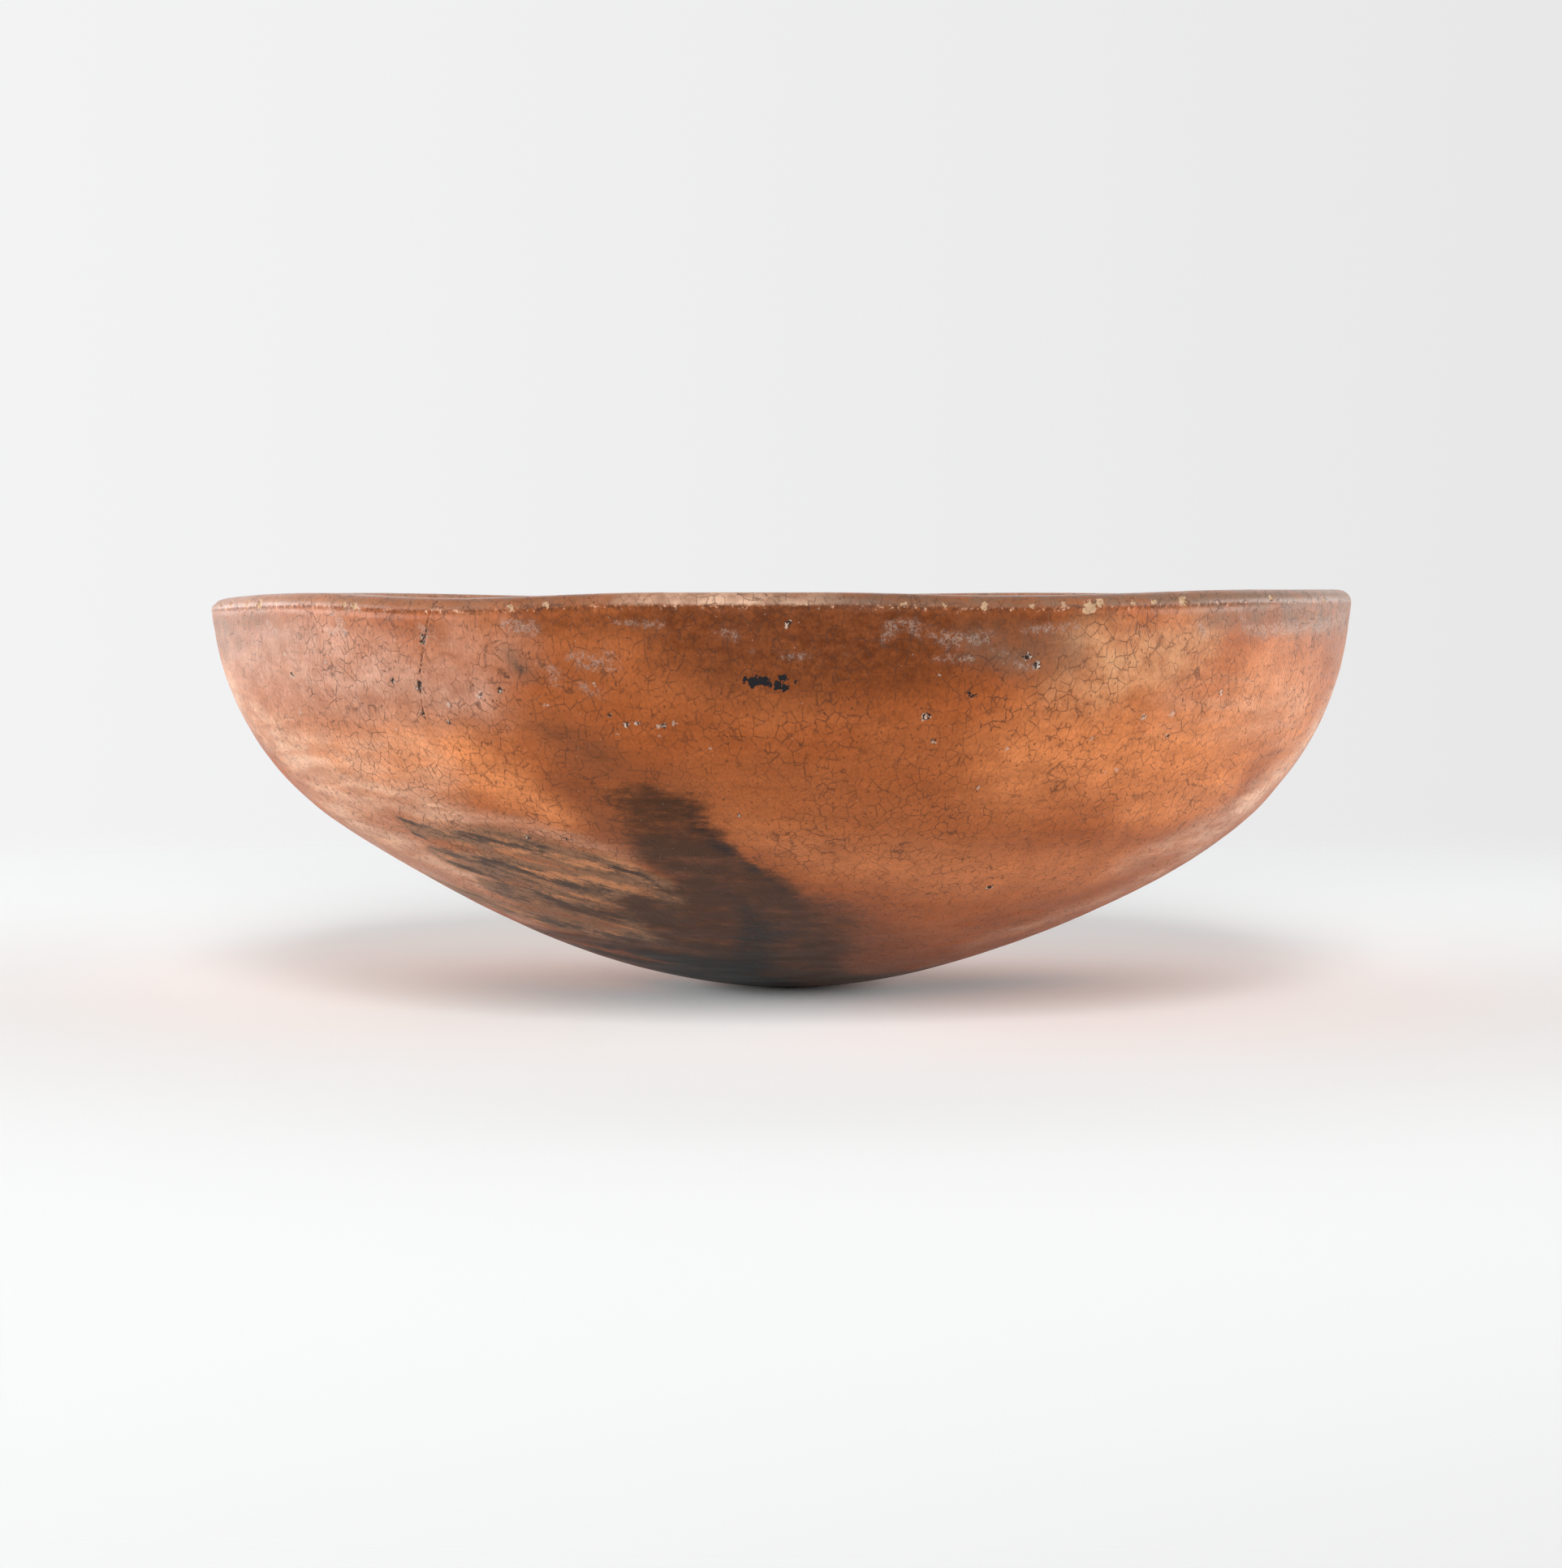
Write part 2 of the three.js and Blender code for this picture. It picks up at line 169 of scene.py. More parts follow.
# Where each colour lies. A path's points are degrees round from the front towards the right, height
# and half width. The soft edge is in millimetres too.
COLOURED = {
    "smoke": (
        Stroke(((-20.5, 70.5, 3), (-16, 68.5, 5), (-12, 66.5, 6.5), (-9.5, 66, 5.5)), 6.5, 0.5),
        Stroke(((-13.4, 60, 13.5), (-13, 53, 14)), 7.5, 0.66),
        Stroke(((-12.6, 50, 13), (-10.8, 45, 15), (-8, 37, 16)), 7.5, 0.86),
        Stroke(((6, 34, 4), (10, 26, 7), (11, 18, 8)), 10, 0.42),
        Stroke(((-8, 37, 15), (-4, 29, 17), (-3, 20, 18), (-1, 11, 17)), 11, 0.97),
        Stroke(((-22.5, 86, 3), (-19, 82, 4), (-16, 79, 3)), 6, 0.35),
        Stroke(((-24, 33, 6), (-20, 29, 11), (-18, 20, 14)), 7, 0.9),
        Stroke(((-42, 31, 5), (-34, 29, 7), (-27, 33, 7), (-21, 37, 6)), 8, 0.5),
        Stroke(((-104, 22, 5), (-84, 20, 8), (-66, 16, 9), (-48, 9, 10), (-30, 4, 10)), 8, 0.85),
        Stroke(((-66, 21, 3), (-50, 19, 6), (-36, 17, 10), (-24, 14, 13), (-12, 9, 14)), 7, 0.9),
        Stroke(((-24.4, 105.8, 0.9), (-24, 103.6, 1.1)), 1.3, 0.8),
        Stroke(((-26.2, 104.2, 0.7), (-25.4, 102.6, 0.9)), 1.3, 0.7),
        Stroke(((-10, 7, 14), (8, 6, 14), (30, 4, 10)), 9, 0.8),
        Stroke(((-50, 2.5, 14), (-15, 2.2, 14), (10, 2, 12)), 8, 0.9),
        Stroke(((150, 64, 12), (163, 52, 20), (178, 38, 22), (195, 22, 18)), 7, 0.9),
        Stroke(((100, 20, 12), (80, 8, 14), (0, 0, 16)), 8, 0.8),
        Stroke(((30, 45, 10), (46, 64, 14)), 16, 0.55, True),
        Stroke(((-150, 30, 16), (-128, 46, 22), (-104, 68, 16)), 18, 0.8, True),
    ),
    "char": (
        Stroke(((-10.6, 66, 2.5), (-9.6, 63, 4.5), (-9, 60, 5), (-8.5, 56.5, 4)), 4.5, 0.55),
        Stroke(((-8.2, 54, 2.5), (-7, 51.5, 2.8), (-5.5, 48, 2.8)), 3.5, 0.6),
        Stroke(((-24.4, 106, 0.5), (-24, 104.4, 0.9), (-23.7, 102.8, 0.5)), 1.3),
        Stroke(((-26, 103.8, 0.4), (-25.5, 102.4, 0.6)), 1.1),
        Stroke(((-5, 46.5, 2.5), (-3.5, 43, 2.5), (-1.5, 38.5, 2.5), (1.5, 36, 1.5)), 3.5, 0.5),
        Stroke(((-46, 17.5, 2), (-36, 15, 5), (-27, 13.5, 9), (-18, 11.5, 10), (-10, 12, 7)), 6.5, 0.98),
        Stroke(((-33, 23, 2), (-27, 21, 4), (-18, 19, 4)), 5, 0.5),
        Stroke(((-64, 15, 3), (-50, 13, 6), (-38, 9.5, 9), (-26, 7, 10), (-14, 5, 8)), 6, 0.95),
        Stroke(((-10, 40, 3), (-6.5, 32, 5), (-6, 24, 7), (-9, 17, 8)), 7, 0.7),
        Stroke(((0, 28, 4), (3, 20, 6), (4, 12, 7)), 8, 0.4),
        Stroke(((-12, 7, 8), (5, 4, 8)), 7, 0.6),
        Stroke(((-90, 4, 10), (-50, 3, 10), (-10, 2, 9)), 7, 0.9),
        Stroke(((-80, 12, 5), (-62, 9, 7), (-46, 6, 8)), 7, 0.7),
        Stroke(((160, 56, 8), (176, 40, 10)), 7, 0.9),
        Stroke(((-138, 42, 7), (-120, 54, 9)), 12, 0.55, True),
    ),
    "haze": (
        Stroke(((-24, 88.5, 3), (-21, 86, 5), (-18, 80.5, 6)), 7, 0.85),
        Stroke(((-21, 78, 4), (-16, 75, 6), (-11, 74, 4)), 6, 0.5),
        Stroke(((-23, 73, 2.5), (-20.5, 67, 5), (-19.5, 58, 6), (-18, 51, 5), (-16, 45, 4)), 6, 0.75),
        Stroke(((1, 36, 4), (8, 29, 8), (13, 22, 10), (18, 14, 10), (30, 8, 8)), 9, 0.9),
        Stroke(((12, 29, 4), (22, 21, 7), (34, 13, 7)), 10, 0.55),
        Stroke(((4, 32, 6), (9, 24, 8), (12, 16, 8)), 10, 0.6),
        Stroke(((-24.6, 108, 1.5), (-24, 104.5, 2.5), (-22.5, 101, 1.5)), 2.5, 0.7),
        Stroke(((-7, 92, 4), (-3, 116, 4)), 10, 0.2),
        Stroke(((-36, 116.5, 2), (-32, 116, 2)), 2.5, 0.4),
        Stroke(((36.5, 111.4, 1.2),), 1.4, 0.7),
        Stroke(((140, 70, 20), (165, 66, 24), (190, 50, 24)), 12, 0.8),
        Stroke(((-158, 28, 30), (-128, 46, 36), (-98, 72, 28)), 24, 0.7, True),
        Stroke(((22, 38, 20), (50, 68, 24)), 22, 0.55, True),
        Stroke(((0, 9.2, 36),), 26, 0.35, True),
    ),
    # Partly a stain, partly painted shade: it darkens the upper front wall under the lip. The stroke on the
    # back is stain only.
    "umber": (
        Stroke(((-24, 118, 1.5), (-8, 118, 4), (6, 118, 4), (20, 117.5, 4), (30, 118.5, 2)), 5, 0.9),
        Stroke(((-10, 111, 6), (0, 110, 10), (14, 109, 9), (25, 111, 5)), 9, 0.85),
        Stroke(((-6, 102, 7), (6, 102, 8), (12, 103, 6)), 9, 0.55),
        Stroke(((-23, 112, 3), (-20, 106, 5), (-16, 103, 5)), 7, 0.25),
        Stroke(((120, 118, 3), (160, 117, 4), (200, 118, 3)), 5, 0.7),
    ),
    "veil": (
        Stroke(((-49, 55.5, 3), (-42, 55, 5.5), (-36, 53.5, 7), (-30, 50.5, 7), (-24, 46, 8)), 7, 0.85),
        Stroke(((-22, 45, 6), (-19, 41, 6), (-17, 36, 6)), 4, 0.75),
        Stroke(((-49, 46, 7), (-40, 44, 9), (-33, 41, 9), (-26, 38, 9), (-20, 35, 7)), 4.5, 0.92),
        Stroke(((-49, 36, 8), (-40, 33, 9), (-30, 30, 9), (-22, 29, 8)), 5, 0.95),
        Stroke(((-106, 40, 6), (-90, 38, 8), (-74, 34, 8), (-62, 31, 7)), 8, 0.8),
        Stroke(((-72, 34, 5), (-62, 31, 7), (-50, 26, 8), (-36, 22, 8), (-22, 22, 8)), 6, 0.9),
        Stroke(((200, 40, 10), (222, 50, 12), (240, 60, 6)), 5, 0.8),
    ),
    "streak": (
        Stroke(((-48, 51, 0.8), (-44.5, 51.6, 1.2), (-41, 52, 0.8)), 1.5, 0.85),
        Stroke(((-37, 50.5, 1.0), (-33, 50.2, 1.6), (-29.5, 49, 1.2)), 1.6, 0.9),
        Stroke(((-39, 45.2, 0.8), (-36, 44.4, 1.6), (-32.5, 43.6, 1.2)), 1.8, 0.85),
        Stroke(((-29, 47.4, 1.4), (-25, 46.6, 2.0), (-21, 45, 1.6)), 2, 0.9),
        Stroke(((-31, 42.6, 1.2), (-26.5, 41, 2.4), (-23, 38.6, 2.6), (-20.5, 36.4, 1.4)), 2.2, 0.95),
        Stroke(((-34, 36, 1.0), (-28, 34.4, 1.4), (-23, 32.6, 1.0)), 1.8, 0.5),
        Stroke(((-23, 50.6, 1.2), (-20.5, 48.4, 1.8), (-18.2, 45.6, 1.2)), 2, 0.7),
        Stroke(((208, 50, 1.5), (222, 56, 2.4), (236, 62, 1.4)), 2.5, 0.8),
    ),
    "wing": (
        Stroke(((-49.5, 59, 1.6), (-46.5, 57.4, 2.6), (-41.5, 57.2, 2.2), (-38, 55.4, 1.2)), 2.4),
        Stroke(((-42, 54.4, 1.0), (-39, 53.6, 1.6), (-34.5, 52.6, 1.4), (-30.5, 51.2, 1.0)), 1.8),
        Stroke(((-49.8, 54.6, 1.4), (-49, 50.4, 2.2), (-44, 49.8, 2.2), (-42, 47, 2)), 2.2),
        Stroke(((-40, 46.8, 1.4), (-37, 42.2, 2.2), (-32.5, 40.4, 2.6), (-27.5, 38, 1.8)), 2.2),
        Stroke(((-50.5, 45, 1.4), (-47, 41, 2.2), (-42, 38.4, 2.6), (-38, 35, 2.4)), 2.4),
        Stroke(((-40, 34.6, 1.6), (-36, 31, 2.6), (-29, 30, 2.6), (-22, 28.4, 1.8)), 2.4),
        Stroke(((-62, 27.4, 1.6), (-50, 25.8, 3.4), (-39, 22.6, 4), (-30, 20, 3)), 3.4, 0.85),
        Stroke(((-22.4, 46, 0.8), (-19.4, 43.8, 1.4), (-18.8, 39.6, 1.4), (-17, 38.4, 1)), 1.6),
        Stroke(((-24, 36.4, 0.7), (-21, 35.4, 1.2), (-18, 34, 0.8)), 1.4),
        Stroke(((205, 44, 1.5), (225, 51, 2.4), (240, 60, 1)), 2.5),
    ),
    "peach": (
        Stroke(((-76, 96, 8), (-68, 84, 11), (-60, 72, 12), (-50, 66, 8), (-40, 63, 5)), 12, 0.95),
        Stroke(((-66, 58, 12), (-56, 48, 12), (-52, 38, 10)), 12, 0.9),
        Stroke(((-58, 80, 8), (-46, 80, 8), (-38, 76, 7)), 12, 0.55),
        Stroke(((-104, 76, 12), (-88, 60, 12), (-76, 44, 9)), 12, 0.75),
        Stroke(((-47, 64, 4), (-38, 61, 3), (-28, 57, 2.5), (-19, 50, 2)), 5, 0.6),
        Stroke(((50, 46, 6), (62, 56, 10), (70, 66, 12), (76, 84, 9), (82, 100, 6)), 12, 0.75),
        Stroke(((40, 96, 6), (50, 92, 8), (62, 88, 9)), 14, 0.4),
        # Painted highlight: a pale sheen along the lower right of the wall.
        Stroke(((44, 20, 4), (58, 31, 7), (66, 44, 8), (66, 62, 9)), 9, 0.6),
        Stroke(((110, 80, 16), (128, 66, 12)), 14, 0.7),
        Stroke(((205, 60, 10), (235, 72, 14)), 12, 0.7),
        Stroke(((60, 50, 16), (110, 70, 20), (150, 60, 14)), 24, 0.3, True),
    ),
    "ochre": (
        Stroke(((27, 112, 4), (31, 107, 8), (37, 107, 8), (42, 112, 6)), 8, 0.78),
        Stroke(((26, 98, 6), (31, 99, 7)), 9, 0.5),
        Stroke(((-150, 100, 10), (-136, 106, 9)), 10, 0.7),
    ),
    # Painted light: pools of brighter slip where the light falls on the front-left, front-right and lower
    # front of the wall.
    "glow": (
        Stroke(((-40, 84, 6), (-34, 80, 9), (-29, 70, 9), (-25, 62, 5)), 9, 0.95),
        Stroke(((-54, 76, 7), (-45, 74, 7), (-36, 72, 7)), 9, 0.7),
        Stroke(((40, 62, 6), (48, 62, 8), (54, 68, 7)), 9, 0.75),
        Stroke(((52, 98, 10), (62, 90, 12), (70, 78, 12)), 14, 0.6),
        Stroke(((24, 78, 14), (44, 80, 16), (52, 70, 12)), 16, 0.75),
        Stroke(((-3, 58, 6), (6, 48, 10), (24, 44, 12), (44, 44, 12)), 12, 0.5),
    ),
    "dust": (
        Stroke(((-72, 106, 10), (-50, 104, 14), (-38, 100, 12), (-29, 96, 7)), 12, 0.85),
        Stroke(((-30, 112, 8), (-24, 110, 5)), 9, 0.45),
        Stroke(((56, 100, 14), (75, 100, 16)), 14, 0.22),
        Stroke(((-98, 54, 12), (-76, 46, 12), (-64, 38, 11), (-60, 26, 8)), 12, 0.8),
        Stroke(((-82, 110, 8), (-76, 92, 8)), 10, 0.6),
        Stroke(((130, 105, 12), (230, 108, 14)), 14, 0.5),
    ),
    "crust": (
        Stroke(((-57, 116, 0.8), (-55.5, 113.5, 1.2)), 1.5, 0.8),
        Stroke(((-53.5, 113, 0.8), (-52, 112, 1.0)), 1.5, 0.5),
        Stroke(((-46, 120, 1.0), (-44.5, 117, 1.8), (-44, 114, 1.6), (-46.5, 114, 1.0)), 2),
        Stroke(((-43.5, 120.6, 0.6), (-41.5, 120.6, 0.8)), 1, 0.9),
        Stroke(((-34.2, 116.5, 0.9), (-33, 114.5, 1.0)), 1.4, 0.9),
        Stroke(((-38, 112, 2), (-31, 112.5, 1.5)), 3, 0.35),
        Stroke(((-25, 117.3, 1.6), (-22.3, 116, 1.8)), 2.2),
        Stroke(((-22, 106, 1.0), (-20.5, 102.5, 1.8), (-20.8, 100, 1.2)), 2.4, 0.8),
        Stroke(((-19, 108, 1.6), (-17.5, 106.5, 2.6), (-15, 105, 1.6), (-15.5, 109.5, 1.2)), 2.6, 0.75),
        Stroke(((-18.3, 99.5, 1.6), (-17, 97, 1.6)), 2.2, 0.55),
        Stroke(((-14.5, 117, 0.8), (-10.5, 116, 1.0)), 1.6, 0.8),
        Stroke(((-5.5, 114.8, 1.5), (-4.2, 113, 1.5)), 2, 0.75),
        Stroke(((-2.5, 109, 0.7),), 1.2, 0.7),
        Stroke(((0.2, 107.6, 1.2), (2.2, 107.4, 1.0)), 1.6, 0.75),
        Stroke(((5.6, 107.6, 0.8),), 1.2, 0.6),
        Stroke(((8.8, 112, 1.0), (9.6, 115.5, 1.8), (11, 117, 1.6), (12.2, 114.5, 1.8)), 2.2, 0.8),
        Stroke(((13.2, 114.5, 1.4), (14.5, 112.5, 2.0), (16.5, 112.8, 2.0), (18.3, 113.2, 1.4)), 2.4, 0.85),
        Stroke(((13.6, 107.6, 0.8), (16.8, 107.4, 1.0)), 1.4, 0.9),
        Stroke(((19, 110, 1.2), (20.8, 107.5, 1.4)), 2, 0.55),
        Stroke(((21.8, 115.6, 1.0), (24, 115.4, 1.4), (27, 116.2, 1.0)), 2, 0.75),
        Stroke(((21.2, 105.2, 1.0), (22.8, 104.6, 1.0)), 1.4, 0.85),
        Stroke(((41.2, 114.8, 1.4), (42, 112.8, 1.0)), 1.8, 0.75),
        Stroke(((46.8, 119, 0.8), (47.6, 115.5, 1.0)), 1.4, 0.85),
        Stroke((
            (48, 113.8, 1.2), (51.5, 112.6, 1.8), (57, 113.4, 1.6), (66, 114.8, 1.8), (74, 116, 1.6),
        ), 2.2),
        Stroke(((95, 112, 2), (112, 114, 2.4), (125, 110, 1.6)), 3, 0.8),
        Stroke(((160, 115, 1.6), (182, 112, 2.4)), 3, 0.8),
        Stroke(((215, 113, 2.2), (236, 116, 1.4)), 3, 0.8),
    ),
    "grime": (
        Stroke(((36, 122.4, 2), (48, 122.6, 3.2), (66, 122.6, 4), (90, 122, 4)), 3, 0.92),
        Stroke(((42, 117.5, 2.5), (56, 116.5, 4.5), (78, 115, 5)), 6, 0.9),
        Stroke(((68, 106, 3), (80, 104, 5)), 8, 0.35),
        Stroke(((17, 112, 4), (22, 108, 6), (27, 109, 4)), 7, 0.6),
        Stroke(((-25, 109, 2), (-24, 104, 3)), 4, 0.6),
        Stroke(((-96, 114, 6), (-82, 114, 7), (-70, 116, 5), (-58, 119, 2)), 7, 0.8),
        Stroke(((-76, 110, 4), (-62, 112, 5), (-50, 113, 4)), 7, 0.4),
        Stroke(((-96, 100, 5), (-82, 100, 5)), 8, 0.3),
        Stroke(((0, 123, 1.2), (8, 122.6, 2), (14, 123, 1.2)), 2, 0.5),
        Stroke(((120, 116, 4), (170, 117, 4)), 6, 0.6),
    ),
}

# Marks cut into the skin or stuck on it: degrees, height, radius and depth.
Spot = namedtuple("Spot", "degrees height radius depth")
PITS = (
    Spot(13, 91, 1.0, 0.7), Spot(0.5, 116.4, 0.8, 0.5), Spot(22.2, 107.8, 0.9, 0.8),
    Spot(23.2, 105.6, 1.0, 0.4), Spot(-16, 91, 0.5, 0.4), Spot(-14.5, 88.7, 0.6, 0.4),
    Spot(-13.5, 89, 0.5, 0.4), Spot(-11, 88.3, 0.6, 0.4), Spot(27, 39.5, 0.9, 0.6),
    Spot(-34, 113.6, 0.8, 0.9), Spot(-34.2, 112.2, 0.6, 0.9), Spot(-35.4, 99.8, 1.0, 1.0),
    Spot(-35.6, 98.6, 0.7, 0.8), Spot(-36, 91, 0.7, 0.6), Spot(-26.5, 98.4, 0.8, 0.6),
    Spot(-54, 101, 0.6, 0.4), Spot(36, 90, 0.6, 0.4), Spot(-5, 63, 0.5, 0.4),
    Spot(14, 84, 0.5, 0.4), Spot(40, 84, 0.5, 0.4), Spot(-31, 55, 0.7, 0.4),
    Spot(28, 42, 0.5, 0.4), Spot(-26, 55, 0.6, 0.4), Spot(-38.6, 100.5, 0.6, 0.4),
    Spot(-28.6, 97, 0.5, 0.4), Spot(-33, 88.5, 0.5, 0.3), Spot(46, 96, 0.5, 0.4),
    Spot(120, 90, 1.0, 0.7), Spot(141, 108, 0.8, 0.5), Spot(172, 86, 1.0, 0.6),
    Spot(205, 101, 0.9, 0.6), Spot(238, 84, 0.9, 0.6), Spot(98, 60, 0.9, 0.5),
)
GRITS = (
    Spot(-61, 100.5, 0.7, 0), Spot(-54.5, 107, 0.6, 0), Spot(-47.5, 105, 0.7, 0),
    Spot(-55, 90.3, 0.8, 0), Spot(-32.5, 94, 0.9, 0), Spot(-29, 96.6, 0.6, 0),
    Spot(-22, 94, 0.6, 0), Spot(-11.5, 88, 0.6, 0), Spot(-10, 89, 0.8, 0),
    Spot(-15.5, 86, 0.5, 0), Spot(-11.5, 85.6, 0.6, 0), Spot(-7, 82.3, 0.6, 0),
    Spot(39.5, 90.3, 0.9, 0), Spot(21.5, 81.5, 0.7, 0), Spot(35, 74.7, 0.7, 0),
    Spot(33.5, 74, 0.5, 0), Spot(14, 83.7, 0.5, 0), Spot(19.5, 70.5, 0.6, 0),
    Spot(14, 102.5, 0.6, 0), Spot(30.5, 84, 0.7, 0), Spot(-17, 100, 0.7, 0),
    Spot(-40, 86, 0.6, 0), Spot(-37, 84, 0.6, 0), Spot(105, 96, 0.8, 0),
    Spot(133, 84, 0.7, 0), Spot(158, 100, 0.8, 0), Spot(190, 92, 0.8, 0), Spot(222, 98, 0.8, 0),
)
FLAKES = (
    Spot(-3.3, 101.2, 0.9, 0), Spot(-2.5, 100.6, 1.7, 0), Spot(-1.7, 100.9, 1.6, 0),
    Spot(-1.2, 99.8, 0.9, 0), Spot(-0.4, 99.7, 1.3, 0), Spot(0.2, 99.0, 1.1, 0),
    Spot(0.3, 101.8, 0.8, 0), Spot(-0.1, 101.6, 0.6, 0), Spot(1.1, 100.6, 0.35, 0),
    Spot(17, 97.2, 0.7, 0), Spot(17.35, 97.0, 0.55, 0),
)
# Chips along the outer edge of the lip: degrees, drop below its top, radius and depth.
CHIPS = (
    Spot(28.4, 3.2, 1.9, 0.9), Spot(29.4, 2.5, 1.2, 0.6), Spot(27.9, 4.6, 1.0, 0.5),
    Spot(25.6, 2.8, 0.6, 0.35), Spot(22.4, 2.9, 0.7, 0.35), Spot(18.0, 3.0, 1.0, 0.45),
    Spot(14.2, 2.8, 0.6, 0.3), Spot(10.6, 3.0, 0.7, 0.35), Spot(39.0, 2.6, 1.4, 0.9),
    Spot(33.0, 2.8, 0.8, 0.4), Spot(35.4, 2.6, 0.9, 0.4), Spot(52.0, 2.6, 0.9, 0.4),
    Spot(64.0, 3.0, 1.0, 0.4), Spot(-58.5, 3.2, 1.4, 0.6), Spot(-61.5, 2.6, 0.8, 0.4),
    Spot(-71.0, 2.6, 1.0, 0.4), Spot(-67.0, 2.4, 0.9, 0.35), Spot(-42.2, 3.4, 1.0, 0.5),
    Spot(-43.6, 3.2, 0.8, 0.4), Spot(-21.0, 2.8, 1.0, 0.4), Spot(-24.5, 3.2, 0.8, 0.4),
    Spot(102, 2.4, 2.0, 0.9), Spot(127, 2.8, 1.3, 0.5), Spot(151, 2.4, 1.6, 0.7),
    Spot(188, 2.6, 2.2, 1.0), Spot(216, 2.6, 1.2, 0.5), Spot(243, 2.4, 1.6, 0.7),
)
# Thin lines: the crack from the lip, and scratches. Points are degrees, height and half width.
CRACK = Stroke((
    (-32.3, 124, 0.2), (-33.2, 118.5, 0.12), (-33.8, 113, 0.2), (-34.4, 108, 0.1),
    (-35.3, 101, 0.16), (-35.6, 95, 0.1), (-35.9, 90, 0.14), (-35.0, 86, 0.1), (-32.4, 79, 0.08),
), 0.25)
SCRATCHES = (
    Stroke(((6.7, 95, 0.14), (8.0, 90.5, 0.18)), 0.2),
    Stroke(((8.2, 88, 0.2), (8.6, 84.5, 0.18)), 0.2),
    Stroke(((31, 28.3, 0.1), (40, 27, 0.25), (50, 25.6, 0.15)), 0.2, 0.8),
    Stroke(((24, 76.4, 0.1), (30, 77.4, 0.14), (36, 79, 0.1)), 0.2, 0.6),
    Stroke(((-14.5, 79, 0.1), (-11.5, 86, 0.12)), 0.2, 0.5),
    Stroke(((-13.7, 80, 0.1), (-11, 87, 0.1)), 0.2, 0.5),
    Stroke(((-6, 85.6, 0.2), (-2.5, 85.3, 0.12)), 0.2, 0.7),
    Stroke(((-1.3, 55.5, 0.25), (0.2, 58.5, 0.5)), 0.3, 0.5),
    Stroke(((-38, 104, 0.1), (-30, 106, 0.1)), 0.2, 0.4),
    Stroke(((140, 78, 0.1), (152, 84, 0.16)), 0.2, 0.7),
    Stroke(((60, 20, 0.1), (80, 26, 0.14)), 0.2, 0.7),
)

# How fine the meshes are. Rows are measured along the skin, in millimetres.
SPIN_STEPS = 60
STEPS_AROUND = 1080
STEPS_ON_BASE = 540
OUTSIDE_ROW = 1.0
INSIDE_ROW = 1.7
EDGE_ROW = 0.4
LIP_ROW = 0.7
CUTS_AT_MARKS = 3
# The lip's outer edge has its finer rows from this far below the crease to this far above it.
EDGE_BELOW = 4
EDGE_ABOVE = 3
# The skin counts as the inside from this far past the crease.
INSIDE_FROM = 5

# The relief of the skin: how high each form stands and how broad it is, in millimetres, and the
# seed of its noise.
Form = namedtuple("Form", "height size seed")
BROAD_FACETS = Form(0.17, 42, 1)
SMALL_FACETS = Form(0.07, 17, 2)
SWELL = Form(0.22, 70, 3)
GRAIN = Form(0.018, 3.4, 4)
FACET_FLATNESS = 2.6

# How deep wear, the maker's fingers and the crack go, in millimetres.
LIP_WEAR = 0.16
RUBBED_SPOT = 0.75
CREASE_LINE = 0.11
PINCH = 0.3
UNDER_LIP = 0.08
CRACK_DEPTH = 0.12

# Where the lip's top is rubbed low, and where the maker pinched it from outside: the direction in
# degrees, and how far to each side it reaches.
Arc = namedtuple("Arc", "degrees reach")
RUBBED_AT = Arc(-88, 22)
PINCHED_AT = (Arc(-34, 12), Arc(41, 6))
# The crease under the lip fades from the first of these directions, and is gone at the second.
CREASE_FADES = 45
CREASE_GONE = 62


def direction(slope):
    return np.array([math.cos(slope), math.sin(slope)])


def sweep(start, start_slope, start_fullness, end, end_slope, end_fullness):
    """Places on a curve that leaves start and reaches end in the given directions."""
    span = np.hypot(*(end - start))
    near_start = start + direction(start_slope) * start_fullness * span
    near_end = end - direction(end_slope) * end_fullness * span
    t = np.linspace(0, 1, 1500)[:, None]
    u = 1 - t
    return u**3 * start + 3 * u**2 * t * near_start + 3 * u * t**2 * near_end + t**3 * end


def smoothstep(value, low, high):
    part = np.clip((value - low) / (high - low), 0, 1)
    return part * part * (3 - 2 * part)


def hump(distance, breadth):
    """1 in the middle, and almost nothing from two breadths on."""
    return np.exp(-(distance / breadth) ** 2)


def turned_from(degrees, middle=0):
    """The angle from a direction, from -180 to 180."""
    return (degrees - middle + 180) % 360 - 180


def run_of(places):
    """The distance along a line of places, from its start."""
    return np.concatenate([[0], np.cumsum(np.hypot(*np.diff(places, axis=0).T))])


